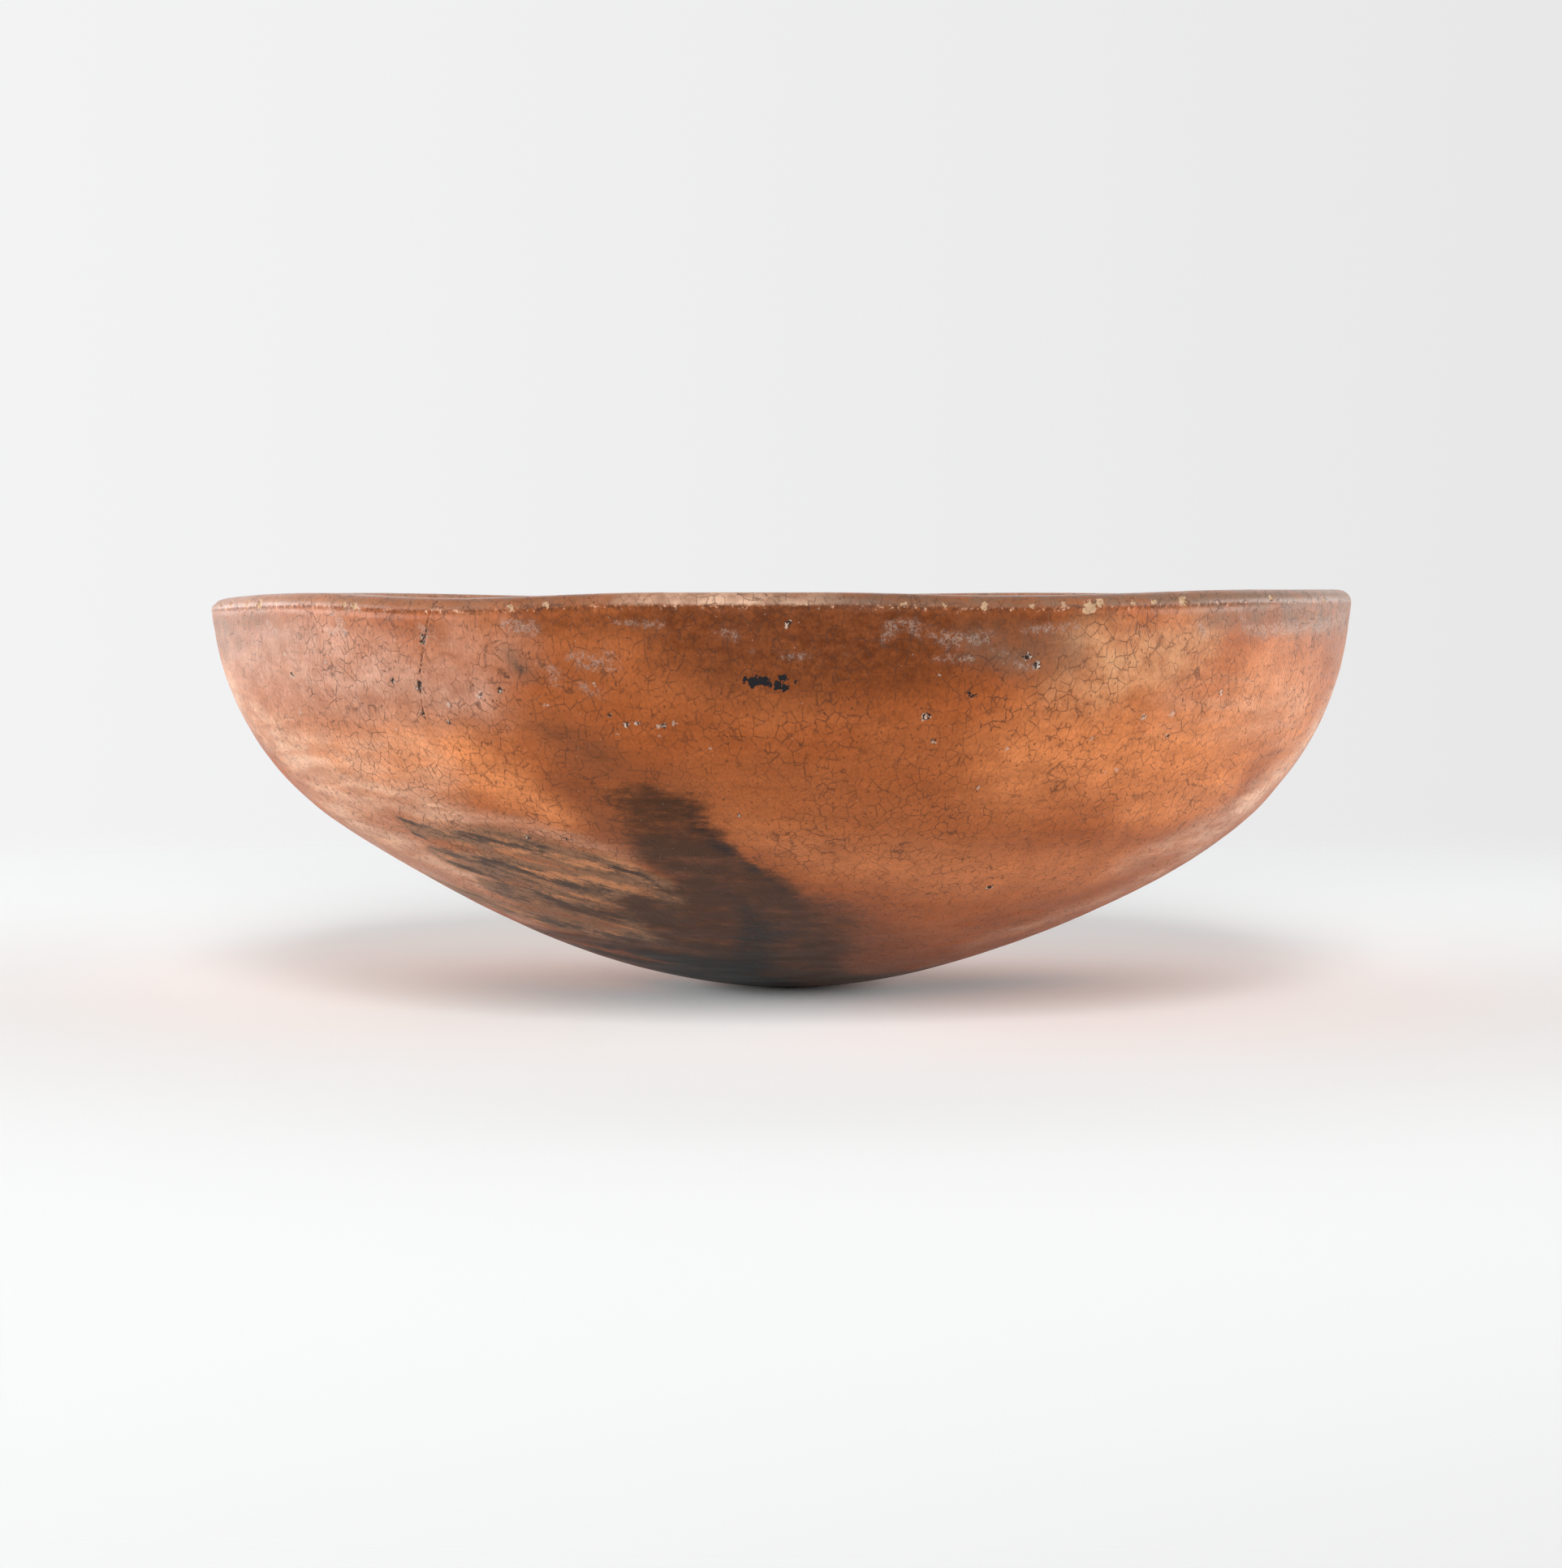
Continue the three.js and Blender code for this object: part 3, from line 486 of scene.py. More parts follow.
def pot_profile(sizes):
    """The pot's skin as one line, in millimetres, from the outside's middle over the lip to the
    inside's middle, with the distances at which the courses meet."""
    mm = SimpleNamespace(**{key: getattr(sizes, key) / MM for key in sizes.__annotations__})
    slope = SimpleNamespace(foot=sizes.foot_slope, shoulder=sizes.shoulder_slope, rim=sizes.rim_slope)
    foot_edge = np.array([mm.foot_diameter / 2, 0])
    shoulder = np.array([mm.shoulder_diameter / 2, mm.shoulder_height])
    crease = np.array([mm.rim_diameter / 2, mm.bowl_height - mm.outer_lip_radius])
    curve = np.concatenate([
        sweep(foot_edge, slope.foot, sizes.foot_fullness, shoulder, slope.shoulder, sizes.under_shoulder),
        sweep(shoulder, slope.shoulder, sizes.over_shoulder, crease, slope.rim, sizes.rim_fullness)[1:],
    ])
    curve_run = run_of(curve)
    outside_length = foot_edge[0] + curve_run[-1]
    run = np.linspace(0, outside_length, 2400)
    on_curve = run > foot_edge[0]
    along = np.where(on_curve, run - foot_edge[0], 0)
    outside = np.stack([np.interp(along, curve_run, curve[:, i]) for i in (0, 1)], 1)
    outside[~on_curve] = np.stack([run[~on_curve], 0 * run[~on_curve]], 1)
    tangent = np.gradient(outside, axis=0)
    tangent /= np.hypot(*tangent.T)[:, None]
    wall_share = smoothstep(run, foot_edge[0], mm.base_pat_diameter / 2)
    lip_share = smoothstep(run, outside_length - mm.rim_coil_width, outside_length)
    thickness = mm.base_thickness + (mm.wall_thickness - mm.base_thickness) * wall_share
    thickness += (mm.lip_thickness - thickness) * lip_share
    inside = outside + np.stack([-tangent[:, 1], tangent[:, 0]], 1) * thickness[:, None]

    outer = mm.outer_lip_radius
    inner = mm.inner_lip_radius
    outer_middle = crease - (outer, 0)
    inside_radius = mm.rim_diameter / 2 - mm.lip_thickness
    inner_middle = np.array([inside_radius + inner, mm.bowl_height - inner])
    quarter = np.linspace(0, math.pi / 2, 40)[:, None]
    over_lip = np.concatenate([
        outer_middle + outer * np.concatenate([np.cos(quarter), np.sin(quarter)], 1),
        inner_middle + inner * np.concatenate([-np.sin(quarter), np.cos(quarter)], 1),
    ])
    skin = np.concatenate([outside[:-1], over_lip, inside[-2::-1]])
    skin_run = run_of(skin)
    inside_run = skin_run[-len(run) + 1:][::-1]
    edge = mm.base_pat_diameter / 2
    last = outside_length - mm.rim_coil_width
    joints = np.linspace(edge, last, 7)
    inner_joints = np.interp(joints - mm.coil_lap, run[:-1], inside_run)
    return SimpleNamespace(
        skin=skin, run=skin_run, joints=joints, inner_joints=inner_joints,
        crease=outside_length, inside_start=inside_run[-1], end=skin_run[-1], mm=mm,
    )


def rows_between(start, end, spacing):
    return np.linspace(start, end, max(2, round(abs(end - start) / spacing) + 1))


def lip_wave(degrees):
    """The lip's rise in each direction, with a smooth turn at each listed place."""
    first = LIP_WAVES[0]
    knots = np.array([*LIP_WAVES, (first[0] + 360, first[1])])
    turned = (degrees - first[0]) % 360 + first[0]
    after = np.clip(np.searchsorted(knots[:, 0], turned, side="right"), 1, len(knots) - 1)
    start, end = knots[after - 1], knots[after]
    part = (1 - np.cos(math.pi * (turned - start[:, 0]) / (end[:, 0] - start[:, 0]))) / 2
    return start[:, 1] + (end[:, 1] - start[:, 1]) * part


def clay_noise(places, size, seed):
    """Smooth noise from about -1 to 1, the same at the same place, with forms of that size in mm."""
    random = np.random.default_rng(seed)
    slopes = random.normal(size=(256, 3))
    slopes /= np.linalg.norm(slopes, axis=1)[:, None]
    cells = places / size + random.uniform(0, 100, 3)
    corner = np.floor(cells).astype(np.int64)
    part = cells - corner
    fade = part**3 * (part * (part * 6 - 15) + 10)
    total = np.zeros(len(places))
    for step in np.ndindex(2, 2, 2):
        at = corner + step
        pick = (at[:, 0] * 73856093 ^ at[:, 1] * 19349663 ^ at[:, 2] * 83492791) & 255
        weight = np.prod(np.where(step, fade, 1 - fade), axis=1)
        total += weight * ((part - step) * slopes[pick]).sum(1)
    return total * 1.6


def skin_at(pot, run):
    """The (radius, height) of the true pot's skin at these runs."""
    return np.stack([np.interp(run, pot.run, pot.skin[:, i]) for i in (0, 1)], 1)


def skin_places(pot, degrees, run):
    """Places on the true form at these angles and runs."""
    radius, height = skin_at(pot, run).T
    turn = np.radians(degrees)
    return np.stack([radius * np.sin(turn), -radius * np.cos(turn), height], 1)


def outward_at(pot, degrees, run):
    """Which way is out of the clay on the true form, at these angles and runs."""
    step = 0.4
    along = skin_at(pot, run + step) - skin_at(pot, run - step)
    along /= np.maximum(np.hypot(*along.T), 1e-9)[:, None]
    turn = np.radians(degrees)
    return np.stack([along[:, 1] * np.sin(turn), -along[:, 1] * np.cos(turn), -along[:, 0]], 1)


def shape_by_hand(pot, degrees, run):
    """The places of the hand-built, marked skin, in millimetres."""
    mm = pot.mm
    places = skin_places(pot, degrees, run)
    places = places + outward_at(pot, degrees, run) * relief(pot, degrees, run, places)[:, None]
    height = places[:, 2].copy()
    lean = mm.foot_lean * (1 - height / mm.bowl_height)
    lean = lean + mm.belly_lean * hump(height - mm.belly_height, mm.belly_spread)
    wave = smoothstep(height, mm.bowl_height - mm.wave_depth, mm.bowl_height - mm.lip_level)
    places[:, 0] += lean
    places[:, 1] *= 1 - mm.out_of_round / mm.rim_diameter
    places[:, 2] = np.maximum(places[:, 2] + wave * lip_wave(degrees), 0)
    return places


def rise_of(form, places):
    return form.height * clay_noise(places, form.size, form.seed)


def relief(pot, degrees, run, places):
    """How far the skin stands out from the true form, in millimetres."""
    flat = places * (1, 1, FACET_FLATNESS)
    facets = rise_of(BROAD_FACETS, flat) + rise_of(SMALL_FACETS, flat)
    swell = rise_of(SWELL, places)
    grain = rise_of(GRAIN, places)
    from_crease = run - pot.crease
    near_lip = smoothstep(np.abs(from_crease), 18, 5)
    total = (facets + swell) * (1 - near_lip) + grain
    wear = clay_noise(places, 9, 5)
    total += near_lip * (-LIP_WEAR + 0.1 * facets - 0.5 * LIP_WEAR * wear**2)
    rubbed = hump(turned_from(degrees, RUBBED_AT.degrees), RUBBED_AT.reach)
    total -= RUBBED_SPOT * rubbed * smoothstep(from_crease, 0, 3) * smoothstep(from_crease, 9, 5)
    uneven = 0.75 + 0.6 * clay_noise(places, 26, 6)
    turned = turned_from(degrees)
    pinched = sum(hump(turned - pinch.degrees, pinch.reach) for pinch in PINCHED_AT)
    creased = smoothstep(turned, CREASE_GONE, CREASE_FADES) * hump(from_crease + 0.6, 0.75)
    total -= CREASE_LINE * uneven * creased
    total -= PINCH * uneven * pinched * hump(from_crease + 1.1, 0.8)
    total -= UNDER_LIP * uneven * hump(from_crease + 6, 2.6)
    for spots in (PITS, chips_as_spots(pot)):
        for spot in spots:
            miss, near = distance_to_spot(pot, spot, places)
            rough = 1 + 0.45 * clay_noise(places[near], 1.3, 7)
            total[near] -= spot.depth * smoothstep(miss * rough / spot.radius, 1.1, 0.5)
    miss, near = distance_to_path(pot, CRACK, places)
    total[near] -= CRACK_DEPTH * smoothstep(miss, 0.3, 0)
    return total


def chips_as_spots(pot):
    """The lip's chips, with their drop turned into a height on the lip's outer rounding."""
    return [spot._replace(height=pot.mm.bowl_height - spot.height) for spot in CHIPS]


def run_at(pot, height, inside=False):
    """The run at a height, on the outside or the inside."""
    if inside:
        part = pot.run >= pot.inside_start
        return np.interp(height, pot.skin[part, 1][::-1], pot.run[part][::-1])
    part = pot.run <= pot.crease + math.pi / 2 * pot.mm.outer_lip_radius
    return np.interp(height, pot.skin[part, 1], pot.run[part])


def path_dots(pot, stroke, spacing=1.2):
    """Closely set dots along a path, each with its half width."""
    degrees, height, half_width = np.array(stroke.path, float).T
    run = run_at(pot, height, stroke.inside)
    places = skin_places(pot, degrees, run)
    if len(run) == 1:
        return places, half_width
    gaps = np.linalg.norm(np.diff(places, axis=0), axis=1)
    at = np.concatenate([[0], np.cumsum(gaps)])
    steps = np.linspace(0, at[-1], int(at[-1] / min(spacing, max(0.25, half_width.min()))) + 2)
    turned, moved, wide = (np.interp(steps, at, column) for column in (degrees, run, half_width))
    return skin_places(pot, turned, moved), wide


def distance_to_path(pot, stroke, places):
    """Distances of the places near a path from its edge, and which places those are."""
    dots, half_width = path_dots(pot, stroke)
    reach = half_width.max() + stroke.soft + 1
    low, high = dots.min(0) - reach, dots.max(0) + reach
    near = np.flatnonzero(((places > low) & (places < high)).all(1))
    miss = np.full(len(near), np.inf)
    for dot, wide in zip(dots, half_width):
        miss = np.minimum(miss, np.linalg.norm(places[near] - dot, axis=1) - wide)
    return miss, near


def distance_to_spot(pot, spot, places):
    """Distances from a spot's middle, and which places are near it."""
    middle = skin_places(pot, np.array([spot.degrees]), run_at(pot, np.array([spot.height])))[0]
    reach = spot.radius * 2 + 3
    near = np.flatnonzero((np.abs(places - middle) < reach).all(1))
    return np.linalg.norm(places[near] - middle, axis=1), near


def paint_strokes(pot, strokes, places, shift, inside):
    """How much of a colour lies on each place, from 0 to 1. Broad strokes shift more than thin ones."""
    bare = np.ones(len(places))
    for stroke in strokes:
        breadth = max(point[2] for point in stroke.path) + stroke.soft
        miss, near = distance_to_path(pot, stroke, places + min(1, breadth / 18) * shift)
        laid = stroke.strength * smoothstep(miss, stroke.soft, -stroke.soft)
        laid = np.where(inside[near] == stroke.inside, laid, 0)
        bare[near] *= 1 - laid
    return 1 - bare


def edge_of_spots(pot, spots, places):
    """Distance outside the nearest spot's edge, held within a few millimetres."""
    edge = np.full(len(places), 4.0)
    for spot in spots:
        miss, near = distance_to_spot(pot, spot, places)
        edge[near] = np.minimum(edge[near], miss - spot.radius)
    return edge


def edge_of_lines(pot, strokes, places):
    edge = np.full(len(places), 4.0)
    for stroke in strokes:
        miss, near = distance_to_path(pot, stroke, places)
        edge[near] = np.minimum(edge[near], miss + (1 - stroke.strength) * 0.3)
    return edge


def paint(pot, degrees, run, places):
    """The named layers that the clay's materials read, as one number for each place."""
    inside = run > pot.crease + INSIDE_FROM
    drift = np.stack([clay_noise(places * (1, 1, 1.6), 16, seed) for seed in (11, 12, 13)], 1)
    ripple = np.stack([clay_noise(places * (1, 1, 2.6), 5, seed) for seed in (14, 15, 16)], 1)
    shift = 2.0 * drift + 1.4 * ripple
    layers = {
        name: paint_strokes(pot, strokes, places, shift, inside) for name, strokes in COLOURED.items()
    }
    turned = turned_from(degrees)
    from_crease = run - pot.crease
    to_inside = run - pot.inside_start
    on_lip = smoothstep(from_crease, 0.1, 1.0) * smoothstep(to_inside, 7, 0)
    pale_arc = np.exp(-((turned + 5) / 9) ** 4) + 0.15 * hump(turned + 58, 20)
    pale_arc = np.maximum(pale_arc, 0.3 * smoothstep(np.abs(turned), 80, 130))
    layers["lip"] = on_lip * (0.58 + 0.3 * smoothstep(turned, -2, 26) * smoothstep(turned, 150, 100))
    layers["wear"] = on_lip * np.clip(0.04 + 0.8 * pale_arc, 0, 1)
    # Along the lip's outer crease: crumbs of dirt, whose dark part is also a painted shadow in the crease.
    in_crease = hump(from_crease - 0.1, 0.7)
    layers["crease"] = in_crease * (0.3 + 0.7 * smoothstep(turned, 60, 42))
    layers["foot"] = smoothstep(run, 19, 9)
    layers["pit"] = edge_of_spots(pot, PITS, places)
    layers["grit"] = edge_of_spots(pot, GRITS, places)
    layers["flake"] = edge_of_spots(pot, FLAKES, places)
    layers["chip"] = edge_of_spots(pot, chips_as_spots(pot), places)
    layers["crack"] = edge_of_lines(pot, (CRACK,), places)
    layers["scratch"] = edge_of_lines(pot, SCRATCHES, places)
    return layers


def fine_marks(pot, places):
    """True for the places that need a finer mesh, because a small mark is on them."""
    needed = np.zeros(len(places), bool)
    for spot in (*PITS, *chips_as_spots(pot), *FLAKES, *GRITS):
        miss, near = distance_to_spot(pot, spot, places)
        needed[near] |= miss < spot.radius + 1.2
    for stroke in (CRACK, *SCRATCHES):
        miss, near = distance_to_path(pot, stroke, places)
        needed[near] |= miss < 0.9
    return needed


def deselect_all():
    if bpy.context.object and bpy.context.object.mode != "OBJECT":
        bpy.ops.object.mode_set(mode="OBJECT")
    bpy.ops.object.select_all(action="DESELECT")


def read(items, name, width=1):
    found = np.empty(len(items) * width)
    items.foreach_get(name, found)
    return found.reshape(-1, width) if width > 1 else found


def turn_section(name, section, steps):
    """A section, as (radius, height) in millimetres, spun once round the upright axis."""
    deselect_all()
    bpy.ops.mesh.primitive_circle_add(vertices=len(section), radius=1, location=(0, 0, 0))
    piece = bpy.context.object
    piece.name = name
    piece.data.name = name
    mesh = piece.data
    places = np.stack([0 * section[:, 0], -section[:, 0], section[:, 1]], 1) * MM
    mesh.vertices.foreach_set("co", places.ravel())
    bpy.ops.object.mode_set(mode="EDIT")
    bpy.ops.mesh.select_all(action="SELECT")
    bpy.ops.mesh.spin(steps=SPIN_STEPS, angle=2 * math.pi, center=(0, 0, 0), axis=(0, 0, 1))
    bpy.ops.mesh.select_all(action="SELECT")
    bpy.ops.mesh.remove_doubles(threshold=1e-6)
    bpy.ops.mesh.normals_make_consistent(inside=False)
    select_edges(piece, goes_round)
    bpy.ops.mesh.subdivide(number_cuts=steps // SPIN_STEPS - 1)
    bpy.ops.object.mode_set(mode="OBJECT")
    bpy.ops.object.shade_smooth()
    return piece


def select_edges(piece, wanted):
    """In edge mode, selects the edges whose two ends pass the test."""
    bpy.ops.mesh.select_mode(type="EDGE")
    bpy.ops.mesh.select_all(action="DESELECT")
    bpy.ops.object.mode_set(mode="OBJECT")
    mesh = piece.data
    places = read(mesh.vertices, "co", 3)
    ends = read(mesh.edges, "vertices", 2).astype(int)
    mesh.edges.foreach_set("select", wanted(places[ends[:, 0]], places[ends[:, 1]]))
    bpy.ops.object.mode_set(mode="EDIT")


def goes_round(start, end):
    """True for the edges that follow a circle round the upright axis."""
    turn = start[:, 0] * end[:, 1] - start[:, 1] * end[:, 0]
    return np.abs(turn) > 1e-3 * np.hypot(start[:, 0], start[:, 1]) * np.hypot(end[:, 0], end[:, 1])


def along_skin(rows, section, radius, height):
    """The run of each place, from the nearest stretch between two rows of the same side."""
    best = np.full(len(radius), np.inf)
    run = np.zeros(len(radius))
    for i in range(len(rows) - 1):
        step = section[i + 1] - section[i]
        if abs(rows[i + 1] - rows[i]) > 3:
            continue
        part = ((radius - section[i, 0]) * step[0] + (height - section[i, 1]) * step[1]) / (step @ step)
        part = np.clip(part, 0, 1)
        miss = np.hypot(radius - section[i, 0] - part * step[0], height - section[i, 1] - part * step[1])
        nearer = miss < best
        best[nearer] = miss[nearer]
        run[nearer] = (rows[i] + part * (rows[i + 1] - rows[i]))[nearer]
    return run


def angles_and_runs(mesh, rows, section):
    """Each vertex's angle round the pot, and its run along the skin."""
    spun = read(mesh.vertices, "co", 3) / MM
    degrees = np.degrees(np.arctan2(spun[:, 0], -spun[:, 1]))
    from_middle = np.radians((degrees % (360 / SPIN_STEPS)) - 180 / SPIN_STEPS)
    radius = np.hypot(spun[:, 0], spun[:, 1]) * np.cos(from_middle) / math.cos(math.pi / SPIN_STEPS)
    return degrees, along_skin(rows, section, radius, spun[:, 2])


def refine_marks(piece, pot):
    """Divides the faces that carry a small mark."""
    deselect_all()
    piece.select_set(True)
    bpy.context.view_layer.objects.active = piece
    bpy.ops.object.mode_set(mode="EDIT")
    bpy.ops.mesh.select_mode(type="FACE")
    bpy.ops.mesh.select_all(action="DESELECT")
    bpy.ops.object.mode_set(mode="OBJECT")
    mesh = piece.data
    middles = read(mesh.polygons, "center", 3) / MM
    middles[:, :2] *= 1 / math.cos(math.pi / SPIN_STEPS) ** 0.5
    normals = read(mesh.polygons, "normal", 3)
    outward = (normals * (middles - (0, 0, 200))).sum(1) > 0
    wanted = fine_marks(pot, middles) & outward
    mesh.polygons.foreach_set("select", wanted)
    if wanted.any():
        bpy.ops.object.mode_set(mode="EDIT")
        bpy.ops.mesh.subdivide(number_cuts=CUTS_AT_MARKS)
        bpy.ops.object.mode_set(mode="OBJECT")


def smooth_over_joints(mesh, pot, degrees, run, joints):
    """Gives the skin at a joint the whole pot's slope, so that two courses meet without a line."""
    at_joint = np.isclose(run[:, None], joints[None, :], atol=1e-4).any(1)
    rows = np.flatnonzero(at_joint)
    step = 0.5
    turn_step = np.degrees(step / 150)
    turned, along = degrees[rows], run[rows]
    across = shape_by_hand(pot, turned + turn_step, along) - shape_by_hand(pot, turned - turn_step, along)
    upward = shape_by_hand(pot, turned, along + step) - shape_by_hand(pot, turned, along - step)
    slopes = np.zeros((len(mesh.vertices), 3))
    slopes[rows] = np.cross(across, upward)
    slopes[rows] /= np.linalg.norm(slopes[rows], axis=1)[:, None]
    corners = read(mesh.loops, "vertex_index").astype(int)
    face_sizes = read(mesh.polygons, "loop_total").astype(int)
    face_of_corner = np.repeat(np.arange(len(face_sizes)), face_sizes)
    face_normals = read(mesh.polygons, "normal", 3)
    wanted = slopes[corners]
    agrees = (face_normals[face_of_corner] * wanted).sum(1) > 0.8
    wanted[~agrees] = 0
    ends = read(mesh.edges, "vertices", 2).astype(int)
    mesh.edges.foreach_set("use_edge_sharp", at_joint[ends].all(1) & same_row(run, ends))
    mesh.normals_split_custom_set(wanted)


def same_row(run, ends):
    return np.abs(run[ends[:, 0]] - run[ends[:, 1]]) < 1e-4


def make_course(name, node, pot, outer, inner, steps=STEPS_AROUND):
    """One course of the pot: its rows on the outside and on the inside, spun and shaped."""
    rows = np.concatenate([outer, inner])
    section = skin_at(pot, rows)
    piece = turn_section(name, section, steps)
    refine_marks(piece, pot)
    mesh = piece.data
    degrees, run = angles_and_runs(mesh, rows, section)
    shaped = shape_by_hand(pot, degrees, run)
    mesh.vertices.foreach_set("co", (shaped * MM).ravel())
    mesh.update()
    for layer, shares in paint(pot, degrees, run, skin_places(pot, degrees, run)).items():
        mesh.attributes.new(layer, "FLOAT", "POINT").data.foreach_set("value", shares)
    smooth_over_joints(mesh, pot, degrees, run, np.concatenate([pot.joints, pot.inner_joints]))
    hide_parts(node)
    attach(piece, "root")
    return piece


def dress(piece, material):
    piece.data.materials.clear()
    piece.data.materials.append(material)


class Wiring:
    """Lays out the nodes of one material or world and wires them up."""

    def __init__(self, owner):
        owner.use_nodes = True
        self.tree = owner.node_tree

    def node(self, kind, inputs=None, **settings):
        node = self.tree.nodes.new(kind)
        for key, value in settings.items():
            setattr(node, key, value)
        for key, value in (inputs or {}).items():
            self.feed(node.inputs[key], value)
        return node

    def feed(self, socket, value):
        if isinstance(value, bpy.types.NodeSocket):
            self.tree.links.new(value, socket)
        else:
            socket.default_value = value

    def maths(self, operation, first, second=0.0, third=0.0):
        inputs = {0: first, 1: second, 2: third}
        return self.node("ShaderNodeMath", inputs, operation=operation).outputs[0]

    def times(self, *values):
        total = values[0]
        for value in values[1:]:
            total = self.maths("MULTIPLY", total, value)
        return total

    def ramp(self, value, low, high, at_low=0.0, at_high=1.0, way="SMOOTHSTEP"):
        inputs = {"Value": value, "From Min": low, "From Max": high, "To Min": at_low, "To Max": at_high}
        return self.node("ShaderNodeMapRange", inputs, interpolation_type=way).outputs["Result"]

    def blend(self, share, first, second):
        """The first colour, turning into the second as the share goes from 0 to 1."""
        node = self.node("ShaderNodeMix", data_type="RGBA")
        for i, value in ((0, share), (6, first), (7, second)):
            self.feed(node.inputs[i], (*value, 1) if isinstance(value, (tuple, list)) else value)
        return node.outputs[2]

    def mix_shaders(self, share, first, second, output):
        """Sends the first shader to the output, turning into the second as the share goes to 1."""
        mixed = self.node("ShaderNodeMixShader", {0: share, 1: first, 2: second})
        self.feed(self.tree.nodes[output].inputs["Surface"], mixed.outputs[0])


class Sheet(Wiring):
    """The wiring of one material, with the places on its piece in millimetres."""

    def __init__(self, material):
        super().__init__(material)
        self.shader = self.tree.nodes["Principled BSDF"]
        place = self.node("ShaderNodeTexCoord").outputs["Object"]
        self.place = self.scaled(place, (1 / MM, 1 / MM, 1 / MM))

    def scaled(self, vector, factors):
        return self.node("ShaderNodeVectorMath", {0: vector, 1: factors}, operation="MULTIPLY").outputs[0]

    def tilted(self, vector, degrees):
        turn = {"Vector": vector, "Angle": math.radians(degrees)}
        return self.node("ShaderNodeVectorRotate", turn, rotation_type="Y_AXIS").outputs[0]

    def layer(self, name):
        return self.node("ShaderNodeAttribute", attribute_name=name).outputs["Fac"]

    def noise(self, size, vector=None, detail=3.0, roughness=0.55, stretch=(1, 1, 1)):
        """Noise from 0 to 1 with forms of this size in millimetres."""
        vector = self.scaled(vector or self.place, tuple(part / size for part in stretch))
        inputs = {"Vector": vector, "Scale": 1.0, "Detail": detail, "Roughness": roughness}
        return self.node("ShaderNodeTexNoise", inputs).outputs["Fac"]

    def dots(self, size, radius, stretch=(1, 1, 1)):
        """Small marks strewn over the skin, from 0 to 1. The cells that can hold one have this size."""
        cells = {"Vector": self.scaled(self.place, stretch), "Scale": 1 / size}
        cells = self.node("ShaderNodeTexVoronoi", cells, feature="F1")
        return self.ramp(cells.outputs["Distance"], 0.5 * radius / size, radius / size, 1.0, 0.0)

    def crazing(self, size, width, bend, seed, stretch=(1, 1, 1)):
        """Dark lines between cells of this size, from 0 to 1. The lines wander by bend."""
        wander = {"Vector": self.place, "Scale": 0.7 / bend, "Detail": 3.0, "Roughness": 0.6}
        wander = self.node("ShaderNodeTexNoise", wander).outputs["Color"]
        start = {0: self.place, 1: (seed, 0, 0)}
        start = self.node("ShaderNodeVectorMath", start, operation="ADD").outputs[0]
        bent = {0: wander, 1: (2 * bend,) * 3, 2: start}
        bent = self.node("ShaderNodeVectorMath", bent, operation="MULTIPLY_ADD").outputs[0]
        cells = {"Vector": self.scaled(bent, stretch), "Scale": 1 / size}
        cells = self.node("ShaderNodeTexVoronoi", cells, feature="DISTANCE_TO_EDGE")
        return self.ramp(cells.outputs["Distance"], 0.25 * width / size, width / size, 1.0, 0.0)


def slip_colours(sheet, tone, mottle):
    """The slip where it is thick, thin, dusty, pale and stained, with painted light where the light falls
    on the wall, painted shade on the upper front wall and a painted highlight low on the right.
    """
    cloudy = sheet.noise(38, stretch=(1, 1, 1.6), detail=2)
    skin = sheet.blend(sheet.ramp(cloudy, 0.35, 0.68, 0.0, 0.6), tone["slip"], tone["deep_slip"])
    # Painted light: brighter slip where the light falls on the wall.
    glow = sheet.times(sheet.layer("glow"), sheet.ramp(mottle, 0.2, 0.7, 0.75, 1.0))
    skin = sheet.blend(glow, skin, tone["bright_slip"])
    dust = sheet.times(sheet.layer("dust"), sheet.ramp(mottle, 0.3, 0.7, 0.6, 1.0))
    skin = sheet.blend(dust, skin, tone["dust"])
    streaky = sheet.ramp(sheet.noise(24, stretch=(1, 1, 6), detail=4), 0.3, 0.7)
    # Pale bloom, and a painted highlight on the lower right.
    peach = sheet.times(sheet.layer("peach"), sheet.ramp(streaky, 0, 1, 0.4, 1.0))
    skin = sheet.blend(peach, skin, tone["peach"])
    blots = sheet.noise(3.2, stretch=(1, 1, 1.3), detail=5, roughness=0.7)
    # Stain, and painted shade on the upper front wall.
    umber = sheet.times(sheet.layer("umber"), sheet.ramp(mottle, 0.25, 0.65, 0.7, 1.0))
    umber = sheet.times(umber, sheet.ramp(blots, 0.38, 0.6, 0.82, 1.15))
    skin = sheet.blend(umber, skin, tone["umber"])
    ochre = sheet.times(sheet.layer("ochre"), sheet.ramp(mottle, 0.25, 0.7, 0.4, 1.0))
    skin = sheet.blend(ochre, skin, tone["ochre"])
    return skin


def unevenly_rubbed(sheet, skin, mottle, burnish, fine):
    """The small differences in shade that the burnishing stone leaves."""
    shade = sheet.ramp(burnish, 0.25, 0.75, 0.93, 1.07)
    shade = sheet.times(shade, sheet.ramp(mottle, 0.25, 0.75, 0.92, 1.08))
    shade = sheet.times(shade, sheet.ramp(fine, 0.25, 0.75, 0.84, 1.16))
    skin = sheet.node("ShaderNodeVectorMath", {0: skin, "Scale": shade}, operation="SCALE").outputs[0]
    return skin


